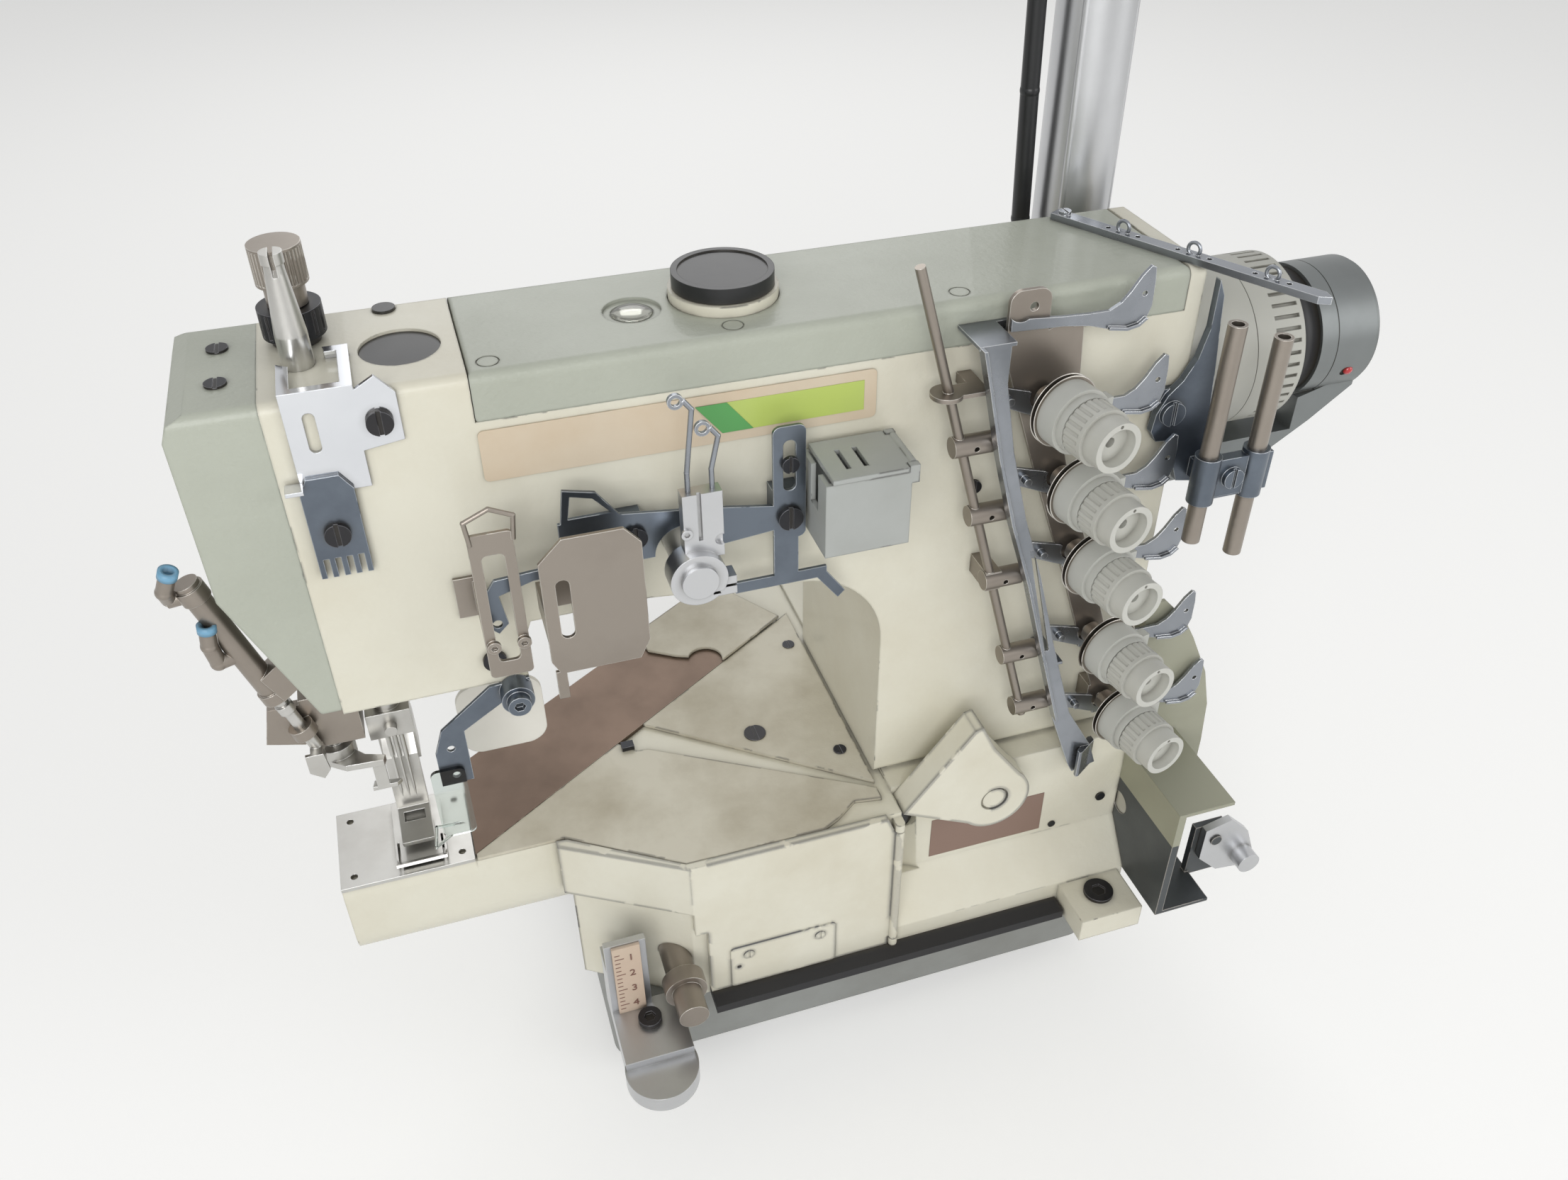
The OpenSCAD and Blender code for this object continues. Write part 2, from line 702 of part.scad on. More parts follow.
module lubricator_box() {
    x0 = lube_x;
    z0 = 54;
    front = -4 - lube_d;
    top = z0 + lube_h;
    wall = 2;
    color(plastic_grey) at_arm() difference() {
        union() {
            block([x0, front, z0], [x0 + lube_w, -4, top]);
            block([x0 + 20, -4, z0 + 4], [x0 + lube_w - 2, 0, top - 4]);
            // Ears and pin of the lid's hinge
            for (y = [front, -7]) block([x0 + lube_w - 1, y, top - 5], [lid_axis[0] + 1.5, y + 3, top + 2.6]);
            pin_y(lid_axis[0], lid_axis[1], front + 1, -5, 1);
        }
        difference() {
            block([x0 + wall, front + wall, z0 + wall], [x0 + lube_w - wall, -4 - wall, top + 1]);
            for (y = [front, -7]) block([x0 + lube_w - 1, y, top - 5], [lid_axis[0], y + 3, top + 2]);
        }
        // Thread notch on the left
        block([x0 - 1, front + 9, z0 + 16], [x0 + wall + 1, front + 17, top + 1]);
    }
}

module lubricator_lid() {
    low = lid_axis[1] - 1;
    front = -4 - lube_d;
    color("#b6b7b4") at_arm() difference() {
        union() {
            block([lube_x + 2.6, front - 0.6, low], [lube_x + lube_w - 1.4, -4, low + 2]);
            block([lube_x + lube_w - 2, front + 3.3, low], [lid_axis[0], -7.3, low + 2]);
            pin_y(lid_axis[0], lid_axis[1], front + 3.3, -7.3, 1.7);
        }
        for (x = [lube_x + 10, lube_x + 17]) block([x, front + 6, low - 1], [x + 2, front + 20, low + 3]);
        pin_y(lid_axis[0], lid_axis[1], front, -4, 1 + run_gap);
    }
}

module guide_ladder() {
    rod_r = 2;
    top = [226, -13.9, 158];
    foot = [291, -13.9, -71];
    run = foot - top;
    color("#b9bcbf") at_arm() {
        rod(top, foot, rod_r);
        // Round eyes beside the guide channel
        for (t = [0.335, 0.483, 0.635, 0.83, 0.975]) {
            c = top + t * run;
            difference() {
                pin_x(c[1], c[2], c[0] - 4, c[0] + 13, 4.4);
                pin_y(c[0] + 5, c[2], -22, -10, 1.1);
            }
        }
        // Flat ear and clamps that hold the ladder to the arm
        block([240, -18.3, 104.6], [256, -9.4, 106.4]);
        pin_z(240, -13.9, 104.6, 106.4, 6.5);
        block([250, -14, 102], [256, 0, 106.4]);
        block([264, -16, 8], [271, 0, 17]);
    }
}

module guide_channel() {
    t = sheet_t;
    left = [[249, 126], [253, 109], [260, 78], [269, 45], [280, 12], [291, -27], [304, -72], [317, -107]];
    color(chrome) at_arm() {
        difference() {
            along_y(-20, -20 + t) polygon(concat(left, [[320, -113], [332, -110], [328, -98],
                [313, -72], [299, -27], [288, 12], [277, 45], [268, 78], [262, 109], [262, 126]]));
            along_y(-22, -17) polygon([[281, 28], [283, 28], [297, -30], [295, -30]]);
        }
        // Edge strip that stands forward along the left side
        for (k = [0 : len(left) - 3]) along_y(-24, -20 + t)
            polygon([left[k], left[k] + [1.4, 0], left[k + 1] + [1.4, 0], left[k + 1]]);
        // Bent top that reaches back to the arm
        block([249, -20, 124.6], [264, 0, 124.6 + t]);
        block([258, -2, 118], [276, 0, 124.6 + t]);
        // Bent foot below the last eye
        along_z(-113, -97) polygon([[320, -24], [321.5, -24], [331, -18], [331, -15], [329, -15], [320, -22]]);
        block([299, -20, -40], [305, 0, -40 + t]);
    }
}

module tension_bracket() {
    t = 2;
    color("#a9a9ab") at_arm() {
        // Bar that carries the posts
        along_y(-10, -10 + t) polygon([[262, 124], [280, 126], [298, 62], [318, 6], [352, -96],
            [340, -100], [306, 0], [284, 60]]);
        // Upright plates behind the first knob and at the top
        along_y(-10, -10 + t) polygon([[268, 92], [274, 119], [277, 122], [294, 127], [297, 124],
            [299, 96]]);
        along_y(-10, -10 + t) difference() {
            translate([265, 112]) round_rect(17, 29, 5);
            translate([275, 134]) circle(1.8);
        }
        // Stand-offs to the arm and the column
        for (p = [[276, 104], [334, -74]])
            block([p[0] - 6, -10, p[1] - 6], [p[0] + 6, 0, p[1] + 6]);
        // Posts, with the pairs of tension discs
        for (i = [0 : post_count - 1]) {
            base = post_seat(i);
            rod(base - 13 * post_dir, base + (housing_len + knob_len - 7) * post_dir, 2);
            for (k = [0, 2.2]) translate(base + k * post_dir)
                rotate([90, 0, post_turn]) cylinder(h = 1, r1 = disc_r - 3, r2 = disc_r);
            rod(base - 10 * post_dir, base, 5);
        }
    }
}

module tension_housings() {
    color("#9fa09f") at_arm() for (i = [0 : post_count - 1])
        translate(post_seat(i) + 3.2 * post_dir) rotate([90, 0, post_turn]) difference() {
            union() {
                cylinder(h = housing_len - 3.5, r = housing_r);
                translate([0, 0, housing_len - 3.5]) cylinder(h = 3.5, r = housing_r - 1.5);
                // Lug that points to the right
                translate([0, -4, 0]) cube([housing_r + 5, 8, 5]);
            }
            translate([0, 0, -1]) cylinder(h = housing_len + 2, r = 2.05);
        }
}

module tension_knob(i) {
    body = knob_len;
    color("#c9c9c6") at_arm()
        translate(post_seat(i) + (housing_len + 3.2 + slide_gap) * post_dir)
        rotate([90, 0, post_turn]) difference() {
            union() {
                cylinder(h = body * 0.55, r = knob_r + 1.4);
                cylinder(h = body, r = knob_r);
            }
            // Flutes round the grip
            for (a = [0 : 360 / flute_count : 359]) rotate(a)
                translate([knob_r + 1.9, 0, -1]) cylinder(h = body * 0.55 - 1, r = 0.9, $fn = 16);
            // Hollow face
            translate([0, 0, body - 5]) cylinder(h = 6, r = knob_r - 2.6);
            translate([0, 0, -1]) cylinder(h = body, r = 2.05);
            translate([0, knob_r - 1.4, body - 1]) cylinder(h = 2, r = 0.7, $fn = 16);
        }
}

// Horn guide with its pointed tip, and the plate guide left of a post
module thread_hook_plates(c) {
    t = sheet_t;
    translate([c[0], 0, c[2]]) {
        along_y(-10 - t, -10) difference() {
            polygon([[-6, -4], [16, -6], [27, -6.5], [35, -6.5], [39.5, -4], [43, 0], [47, 6], [50.5, 9.5],
                [52.2, 8.6], [52.8, 3], [53, -7], [51.5, -11.5], [48, -14.4], [43, -15.4], [35, -14],
                [27, -11.5], [16, -10], [-6, -9]]);
            translate([49, -1.5]) circle(1.1);
            translate([-2, 0]) circle(5.6);
        }
        // Rolled lower edge of the horn
        along_y(-13, -10) polygon([[35, -14], [43, -15.4], [48, -14.4], [51.5, -11.5], [50.4, -11],
            [47.6, -13.2], [43, -14.1], [35.2, -12.8]]);
    }
}

module thread_hooks() {
    color("#b4b6b8") at_arm() {
        for (i = [0 : post_count - 1]) {
            c = post_seat(i);
            thread_hook_plates(c);
            // Plate guide on the left, with its round stud
            translate([c[0], 0, c[2]]) {
                along_y(-11.6, -10) difference() {
                    polygon([[-24, 8], [-8, 3], [-2, -1], [-1, -9], [-8, -7], [-23, 0]]);
                    translate([-2, 0]) circle(5.6);
                }
                pin_y(-17.5, 1.5, -15, -11, 1.7);
            }
        }
        // Extra horn above the first post
        thread_hook_plates(row_start - post_place[1] * row_dir + [-1, 0, 0]);
    }
}

module top_thread_bar() {
    from = [321, 64];
    to = [376, -42];
    dir = (to - from) / norm(to - from);
    side = [-dir[1], dir[0]];
    color("#b9bcbf") at_arm() {
        difference() {
            along_z(arm_h, arm_h + 3) polygon([from - 3 * side, from + 3 * side, to + 3 * side,
                to + 4 * dir, to - 3 * side]);
            // Thread holes on both sides of each eye
            for (k = [0.28, 0.55, 0.83]) for (d = [-7, 7]) {
                p = from + k * (to - from) + d * dir;
                pin_z(p[0], p[1], arm_h - 1, arm_h + 4, 1.1);
            }
        }
        // Standing thread eyes
        for (k = [0.28, 0.55, 0.83]) {
            p = from + k * (to - from);
            translate([p[0], p[1], arm_h + 5]) rotate([90, 0, atan2(dir[1], dir[0])])
                rotate_extrude($fn = 24) translate([2.6, 0]) circle(0.75, $fn = 16);
        }
        translate([from[0] + 5 * dir[0], from[1] + 5 * dir[1], arm_h + 3]) slot_head(2.6, 1.6);
    }
}

module looper_tubes() {
    color("#c4c6c8") at_arm() for (p = [[tube_x[0], 20, 121], [tube_x[1], 9, 112]]) difference() {
        pin_z(p[0], tube_y, p[1], p[2], 3.9);
        pin_z(p[0], tube_y, p[1] - 1, p[2] + 1, 2.6);
    }
}

module tube_bracket() {
    gap = shaft_y - drum_r;
    plate = [gap - 3.8, gap - slide_gap];
    end = arm_end;
    color("#5f6770") at_arm() {
        difference() {
            union() {
                // Cast plate that follows the seam of the drum
                along_y(plate[0], plate[1]) translate([end, 0]) polygon([[3, 131], [6, 124], [7, 112],
                    [9, 93], [11, 69], [13, 52], [19, 50], [19, 40], [11, 37], [1, 39], [-3, 50],
                    [-5, 60], [-13, 61], [-16, 66], [-15, 74], [-11, 82], [-5, 88], [0, 97],
                    [3, 110], [3, 120]]);
                block([end - 14, plate[1] - 1, 64], [end - 2, 0, 84]);
                // Arm and clamp sleeves of the tubes
                block([end + 6, tube_y - 2, 41], [end + 19, plate[1], 50]);
                block([end - 3, tube_y - 2.5, 42], [end + 31, tube_y + 2.5, 60]);
                for (x = tube_x) pin_z(x, tube_y, 40, 62, 5.6);
            }
            for (x = tube_x) pin_z(x, tube_y, 36, 80, 3.9);
        }
        // Clamp screw and fixing screw
        facing_front((tube_x[0] + tube_x[1]) / 2, tube_y - 2.5, 51) slot_head(4.6, 2.4);
        facing_front(end - 8, plate[0], 74) slot_head(5.4, 2.4);
    }
}

module belt_cover() {
    x0 = arm_end;
    x1 = arm_end + belt_cover_w;
    color("#bcbcb6") at_arm() difference() {
        pin_x(shaft_y, shaft_z, x0, x1, drum_r);
        // Chamber, open to the wheel
        pin_x(shaft_y, shaft_z, x0 + 4, x1 + 1, drum_r - 3);
        pin_x(shaft_y, shaft_z, x0 - 1, x0 + 5, 20);
    }
}

module handwheel() {
    x0 = arm_end + belt_cover_w + slide_gap;
    x1 = x0 + wheel_w;
    hole_at = 52;
    color("#c4c4bd") at_arm() difference() {
        union() {
            pin_x(shaft_y, shaft_z, x0, x1, drum_r);
            pin_x(shaft_y, shaft_z, arm_end - 11, x1 + 4, 9);
            pin_x(shaft_y, shaft_z, arm_end + 6, x0 + 1, 18);
        }
        // Dished end round the hub
        difference() {
            pin_x(shaft_y, shaft_z, x1 - 8, x1 + 1, drum_r - 3);
            pin_x(shaft_y, shaft_z, x1 - 9, x1 + 2, 16);
        }
        // Slots round the rim, left out beside the turning hole
        for (a = [0 : 360 / wheel_slots : 359.9]) if (a > 14)
            translate([0, shaft_y, shaft_z]) rotate([hole_at + a, 0, 0])
                block([x1 - 14, -drum_r - 1, -0.8], [x1 - 2, -drum_r + 1.8, 0.8]);
        translate([0, shaft_y, shaft_z]) rotate([hole_at - 90 + 4, 0, 0])
            pin_z(x1 - 9, 0, drum_r - 9, drum_r + 1, 4.6);
    }
}

module detector_cup() {
    x0 = arm_end + belt_cover_w + slide_gap + wheel_w + 1;
    x1 = x0 + detector_w;
    collar = 13;
    color("#8f9291") at_arm() difference() {
        union() {
            pin_x(shaft_y, shaft_z, x0, x0 + collar, detector_r - 2);
            pin_x(shaft_y, shaft_z, x0 + collar, x1 - 3, detector_r);
            pin_x(shaft_y, shaft_z, x1 - 3, x1 - 1.2, detector_r - 1);
            pin_x(shaft_y, shaft_z, x1 - 1.2, x1, detector_r - 2.6);
            // Tapered arm below the wheel that holds the detector to the machine's end
            along_y(12, 28) polygon([[arm_end, 26], [arm_end, 41], [x0 + collar, 42], [x0 + collar, 58],
                [x1 - 3, 66], [x1 - 3, 60], [x0 + 22, 45], [x0 + 4, 33], [x0 - 18, 26]]);
        }
        // Seam between the two halves of the case
        difference() {
            pin_x(shaft_y, shaft_z, x0 + collar + 8, x0 + collar + 8.5, detector_r + 1);
            pin_x(shaft_y, shaft_z, x0 + collar + 7, x0 + collar + 10, detector_r - 0.4);
        }
        pin_x(shaft_y, shaft_z, x0 - 1, x1 - 4, detector_r - 6);
        // Seat of the signal lamp
        translate([x0 + 30, shaft_y, shaft_z]) rotate([110, 0, 0]) pin_z(0, 0, detector_r - 1.2, detector_r + 2, 2.4);
    }
}

module belt_guard() {
    t = 2;
    x = arm_end;
    color("#77786c") at_arm() {
        // Flat front with its bowed right edge, open where the cam turns
        along_y(-7, -7 + t) difference() {
            polygon([[x, -28], [x + 9, -28], [x + 21, -41], [x + 29, -55], [x + 41, -80], [x + 47, -103],
                [x + 49, -129], [x + 50, -190], [x, -190]]);
            translate([x + 4.5, cam_z - 23]) square([20, 46]);
        }
        // Side against the base, and the narrow flange at the rear
        block([x, -7, -190], [x + 3, 62, -28]);
        block([x + 3, 60, -190], [x + 30, 62, -60]);
    }
}

module cam_guard() {
    color("#6c6b66") at_arm() difference() {
        union() {
            difference() {
                block([arm_end, -62, -186], [arm_end + 30, -8, -114]);
                block([arm_end + 4, -63, -184], [arm_end + 31, -6, -116]);
            }
            // Ear and pin of the thumb lever
            block([arm_end + 28, -43.6, -186], [arm_end + 45, -40, -151]);
            pin_y(arm_end + 38, -158, -49, -41, 3);
        }
        pin_x(cam_y, cam_z, arm_end - 1, arm_end + 5, 6 + run_gap);
    }
}

module looper_cam() {
    color("#8f9092") at_arm() {
        pin_x(cam_y, cam_z, arm_end + 0.4, arm_end + 28, 6);
        difference() {
            union() {
                pin_x(cam_y, cam_z, arm_end + 5, arm_end + 9, 22);
                pin_x(cam_y - 5, cam_z, arm_end + 9, arm_end + 18, 15);
                pin_x(cam_y, cam_z, arm_end + 18, arm_end + 24, 12);
            }
            for (a = [0 : 60 : 300])
                pin_x(cam_y + 18 * cos(a), cam_z + 18 * sin(a), arm_end + 4, arm_end + 10, 1.8);
            pin_x(cam_y, cam_z, arm_end + 4, arm_end + 25, 5.9);
        }
    }
}

module thumb_lever() {
    x0 = arm_end + 31;
    color("#b9b9b4") at_arm() {
        along_y(-48, -44) difference() {
            polygon([[x0, -150], [x0 + 14, -146], [x0 + 26, -158], [x0 + 33, -176],
                [x0 + 27, -184], [x0 + 12, -182], [x0, -170]]);
            translate([x0 + 7, -158]) circle(3 + run_gap);
        }
        pin_y(x0 + 25, -174, -56, -46, 6);
    }
}

module air_cylinder() {
    x = air_x;
    y = air_y;
    z0 = 116;
    color("#c9cac8") at_arm() {
        pin_z(x, y, z0, z0 + air_len, air_d / 2 - 1);
        for (a = [45 : 90 : 315])
            pin_z(x + (air_d / 2 - 3) * cos(a), y + (air_d / 2 - 3) * sin(a), z0 - 6, z0 + air_len + 10, 2.4);
    }
}

module air_fittings() {
    x = air_x;
    y = air_y;
    z0 = 116;
    top = z0 + air_len;
    color("#27282a") at_arm() difference() {
        union() {
            // End caps of the air cylinder and the foot that carries it
            pin_z(x, y, z0 - 10, z0, air_d / 2 - 0.5);
            pin_z(x, y, top, top + 9, air_d / 2 - 0.5);
            pin_z(x, y, 94 - 14, z0 - 10, 9);
            block([x - 16, y - 16, shaft_z - 5], [x + 14, y + 10, shaft_z + 3]);
            // Cap lug and the air hose that drops behind the arm
            block([x - 27, y - 7, top], [x - 14, y + 7, top + 9]);
            bent_rod([[x - 22, y, top + 4], [x - 26, y, top + 3], [x - 28, y, top - 6],
                [x - 27, y, top - 46], [x - 25, y, 122], [x - 24, y - 6, 106], [x - 24, y - 15, 99],
                [x - 24, arm_d, 99]], 4);
        }
        for (a = [45 : 90 : 315])
            pin_z(x + (air_d / 2 - 3) * cos(a), y + (air_d / 2 - 3) * sin(a), z0 - 6, top + 10, 2.41);
    }
}

module wiper_cylinder() {
    color("#a39c93") at_arm() difference() {
        union() {
            // Block under the head, with the plate on its front
            block([-17, 13.5, -26], [4, 30, 0]);
            along_y(13.5, 17) polygon([[-29, -2], [-33, -19], [-19, -23], [-3, -19], [-3, -2]]);
            // Barrel that slants along the side of the head, with its end caps
            rod(wiper_foot, wiper_at(62), 4.6);
            rod(wiper_foot, wiper_at(5), 5.4);
            rod(wiper_at(54), wiper_at(60), 5.4);
            // Plate at its foot, seated on the side of the face cover
            along_y(5, 15) polygon([[cover_side(27), 27], [cover_side(14), 14], [-20, 8], [-26, 20]]);
            // Guide sleeve on the front plate
            rod(wiper_at(-17), wiper_at(-22), 5);
            // Air elbows, one at each end
            rod(wiper_at(57) + [-9, 0, -1], wiper_at(57), 3.4);
            bent_rod([wiper_at(25), wiper_at(25) + [-8, -3, 0], wiper_at(25) + [-9, -4, 9],
                wiper_at(25) + [-8, -4, 16]], 3);
            bent_rod([wiper_at(57) + [-8, 0, -1], wiper_at(57) + [-8, -4, 5], wiper_at(57) + [-5, -5, 12]], 3);
        }
        rod(wiper_at(-23), wiper_at(45), 2.5 + run_gap);
        pin_z(-9, 21, -27, -6, 4 + run_gap);
    }
}

module wiper_rod() {
    color("#bfc1c4") at_arm() {
        rod(wiper_at(-32), wiper_at(32), 2.5);
        // Knurled stop above the sleeve, and the clamp at the end
        rod(wiper_at(-8), wiper_at(-4), 3.4);
        block([-17, 5, -29], [-12, 11, -21]);
        along_y(3.5, 5) polygon([[-19, -21], [-12, -21], [-11, -30], [-14, -34], [-19, -30]]);
    }
}

module spreader() {
    color("#8e9092") at_arm() {
        pin_z(-9, 21, -38, -8, 4);
        pin_z(-9, 21, -38, -30, 8);
        along_z(-38, -35) polygon([[-15, 16], [-6, 9], [9, 8], [10, 11], [2, 14], [-10, 28]]);
        block([4, 9, -50], [9, 11, -35]);
        along_z(-52, -50) polygon([[2, 9], [12, 9], [14, 11], [3, 13]]);
    }
}

module rear_shield() {
    t = 2;
    color("#e3e1da") at_arm() {
        along_y(30, 30 + t) translate([41, -63]) round_rect(37, 38, 9);
        block([50, 30, -30], [70, 30 + t, 0]);
        block([50, 30, -t], [66, 62, 0]);
    }
}

module needle_bar() {
    top = arm_h + 37;
    tip = bed_z + 26;
    color("#b7b9bc") at_arm() {
        difference() {
            union() {
                pin_z(needle_x, needle_y, -22, arm_h + 4, needle_bar_r);
                pin_z(needle_x, needle_y, arm_h + 4, arm_h + 12, needle_bar_r);
                translate([needle_x, needle_y, arm_h + 12])
                    cylinder(h = top - arm_h - 12, r1 = needle_bar_r, r2 = 3.2);
                pin_z(needle_x, needle_y, top, top + 4, 3.8);
                // Needle clamp
                block([needle_x - 9, needle_y - 7, -34], [needle_x + 9, needle_y + 5, -21]);
                pin_y(needle_x, -28, needle_y - 11, needle_y - 7, 2.6);
            }
            block([needle_x - 0.8, needle_y - 5, top - 4], [needle_x + 0.8, needle_y + 5, top + 5]);
        }
        // Three needles
        for (k = [-1, 0, 1]) {
            x = needle_x + 2.8 * k;
            pin_z(x, needle_y, -52 - 1.5 * k, -34, 1);
            pin_z(x, needle_y, tip + 5, -52 - 1.5 * k, 0.6);
            translate([x, needle_y, tip - 1 * k]) cylinder(h = 5 + k, r1 = 0.1, r2 = 0.6);
        }
    }
}

module presser_foot() {
    sole = bed_z + 1.2;
    color("#a4a6a9") at_arm() {
        difference() {
            union() {
                pin_z(needle_x, pressure_y, -60, 80, 4);
                block([needle_x - 8, pressure_y - 8, -66], [needle_x + 8, pressure_y + 6, -46]);
                along_x(needle_x - 7, needle_x + 7) polygon([[pressure_y - 8, -50], [pressure_y - 8, -64],
                    [36, sole + 8], [16, sole + 6], [14, sole + 10], [32, sole + 14], [pressure_y - 14, -58]]);
                along_z(sole, sole + 3) translate([needle_x - 11, 10]) round_rect(22, 38, 3);
                along_x(needle_x - 11, needle_x + 11) polygon([[10, sole + 2], [10, sole + 3], [5, sole + 7],
                    [4, sole + 6]]);
                block([needle_x - 6, 30, sole + 3], [needle_x + 6, 46, sole + 10]);
            }
            // Needle slot through the sole
            block([needle_x - 4.6, needle_y - 2.5, sole - 1], [needle_x + 4.6, needle_y + 2.5, sole + 24]);
            for (x = [needle_x - 10, needle_x + 9]) block([x, 8, sole - 1], [x + 1, 22, sole + 8]);
        }
    }
}

module pressure_screw() {
    base = arm_h + 14 + slide_gap;
    color("#9a9184") at_arm() translate([needle_x, pressure_y, 0]) difference() {
        union() {
            pin_z(0, 0, arm_h - 28, base, 5);
            pin_z(0, 0, base, base + 8, 7);
            pin_z(0, 0, base + 8, base + 22, pressure_r);
        }
        // Straight knurl
        for (a = [0 : 10 : 359]) rotate(a) translate([pressure_r + 0.25, 0, base + 9])
            cylinder(h = 12, r = 0.6, $fn = 16);
    }
}

module lock_nut() {
    color("#242426") at_arm() translate([needle_x, pressure_y, arm_h + slide_gap]) difference() {
        union() {
            cylinder(h = 3, r = 8.5);
            translate([0, 0, 3]) cylinder(h = 10.6, r = 11);
        }
        translate([0, 0, -1]) cylinder(h = 16, r = 5 + run_gap);
        for (a = [0 : 22.5 : 359]) rotate(a) translate([11.2, 0, 4]) cylinder(h = 9, r = 0.9, $fn = 8);
    }
}

module take_up_clamp() {
    shaft = [137, 55];
    color("#c6c8ca") at_arm() {
        pin_y(shaft[0], shaft[1], -34, 28, 7);
        difference() {
            union() {
                pin_y(shaft[0], shaft[1], -32, -22, 11);
                block([133, -28, 62], [148, -22, 90]);
                block([139, -29, 44], [152, -22, 52]);
            }
            pin_y(shaft[0], shaft[1], -33, -21, 6.9);
            block([142, -33, 47.4], [153, -21, 48.6]);
            block([138.5, -28.6, 70], [140, -26.6, 91]);
            pin_y(147, 69, -29, -26, 2.4);
        }
        facing_front(134, -28, 74) socket_head(2.2, 1);
    }
}

module take_up_wires() {
    color("#cfd1d4") at_arm() {
        for (p = [[136, 127], [145, 115]]) {
            bent_rod([[p[0], -25, 90], [p[0], -25, 98], [p[0] + 3, -25, p[1] - 4],
                [p[0], -25, p[1]]], 1);
            translate([p[0] - 2.6, -25, p[1]]) rotate([90, 0, 0]) difference() {
                translate([0, 0, -0.8]) cylinder(h = 1.6, r = 2.9);
                translate([0, 0, -2]) cylinder(h = 4, r = 1.6);
            }
        }
    }
}

module eye_guard_bracket() {
    color(blued) at_arm() {
        difference() {
            union() {
                along_y(-2, -0.5) polygon([[30, -47], [43, -47], [43, -20], [60, -9], [72, -9],
                    [72, 1], [56, 0], [34, -18], [30, -30]]);
                pin_y(66, -4, -9, -0.5, 6.6);
            }
            for (z = [-42, -28]) pin_y(36.5, z, -3, 0, 1.6);
        }
        facing_front(66, -9, -4) socket_head(4.6, 4);
        pin_y(66, -4, -1, 7, 3);
    }
}

module eye_guard() {
    color("#cfd6d2") at_arm() {
        along_y(-3.6, -2) translate([26, -76]) round_rect(14, 38, 3);
        bent_rod([[36, -2.8, -70], [24, -6, -66], [22, -6, -78], [30, -2.8, -75]], 0.7, $fn = 24);
    }
}

module front_cover() {
    low = rim_z + 5.3;
    back = -bed_front - slide_gap;
    front = back - front_cover_t;
    right = column_x - 1;
    color(cream) at_arm() {
        difference() {
            union() {
                along_y(front, back) polygon([[126, bed_z - 0.4], [right - 3, bed_z - 0.4],
                    [right, bed_z - 8], [right, low], [132, low], [132, -150], [126, -150]]);
                // Slanting wing towards the bed arm
                along_z(-135, bed_z - 0.4) polygon([[127, back], [124.6, back], [77, 4.7], [72, 5.2],
                    [72, 5.2 - front_cover_t], [125.5, front], [127, front]]);
                // Raised inspection plate
                along_y(front - 0.8, front) translate([142, -194]) round_rect(53, 28, 2);
                // Hinge barrel at the right edge
                along_y(front, back) polygon([[right - 1, -189.4], [front_hinge[0], -189.4],
                    [front_hinge[0], -112.4], [right - 1, -112.4]]);
                pin_z(front_hinge[0], front_hinge[1], -189.4, -112.4, 2.3);
            }
            pin_z(front_hinge[0], front_hinge[1], low - 1, bed_z, 1.5 + run_gap);
            pin_y(146, -180, front - 1, front + 1, 1.1);
        }
        for (x = [151, 187]) facing_front(x, front - 0.8, -172) slot_head(2.6, 0.7);
    }
}

module slide_plate() {
    color("#d6cfb8") at_arm() {
        along_z(plate_z, bed_z) slide_strip(-40, 150, 0, slide_w - slide_gap);
    }
}

module push_knob() {
    x = 117;
    z = -170;
    color(dark) at_arm() {
        pin_y(x, z, -42, -bed_front + 13, 7);
        pin_y(x, z, -44, -36, 10);
        pin_y(x, z, -58, -44, 7);
    }
}

module wedge_cover() {
    front = -bed_front;
    back = -base_front - slide_gap;
    color("#cfc6ad") at_arm() difference() {
        union() {
            along_y(front, back) polygon([[229, -107], [262, -64], [266, -63], [273, -78],
                [286, -96], [292, -104], [276, -130], [262, -124]]);
            pin_y(276, -112, front, back, 18);
        }
        pin_y(276, -112, front - 1, front + 2, 7);
    }
    color("#cfc6ad") at_arm() pin_y(276, -112, back, back + 11, 4);
    color("#8f8c87") at_arm() pin_y(276, -112, front + 0.4, front + 2, 6);
}

machine_frame();
oil_pan();
rubber_mounts();
bed_plates();
needle_plate();
feed_dog();
bed_fittings();
hole_plugs();
marking_plates();
regulator_block();
face_cover();
top_cover();
sight_glass();
needle_thread_guide();
eyelet_plate();
thread_slot_bracket();
take_up_guard();
take_up_bracket();
slotted_screws();
lubricator_box();
lubricator_lid();
guide_ladder();
guide_channel();
tension_bracket();
tension_housings();
thread_hooks();
top_thread_bar();
looper_tubes();
tube_bracket();
belt_cover();
detector_cup();
belt_guard();
cam_guard();
air_cylinder();
air_fittings();
wiper_cylinder();
wiper_rod();
spreader();
rear_shield();
needle_bar();
presser_foot();
eye_guard_bracket();
eye_guard();
front_cover();
slide_plate();
push_knob();
handwheel();
looper_cam();
thumb_lever();
wedge_cover();
oil_cap();
pressure_screw();
lock_nut();
take_up_clamp();
take_up_wires();
tension_knob(0);  // tension_knob_1
tension_knob(1);  // tension_knob_2
tension_knob(2);  // tension_knob_3
tension_knob(3);  // tension_knob_4
tension_knob(4);  // tension_knob_5
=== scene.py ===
"""Looks of a coverstitch sewing machine head: finishes, small dressed pieces, camera and light."""

import json
import logging
import math
from dataclasses import dataclass, field
from enum import Enum

import bmesh
import bpy
from mathutils import Matrix, Vector

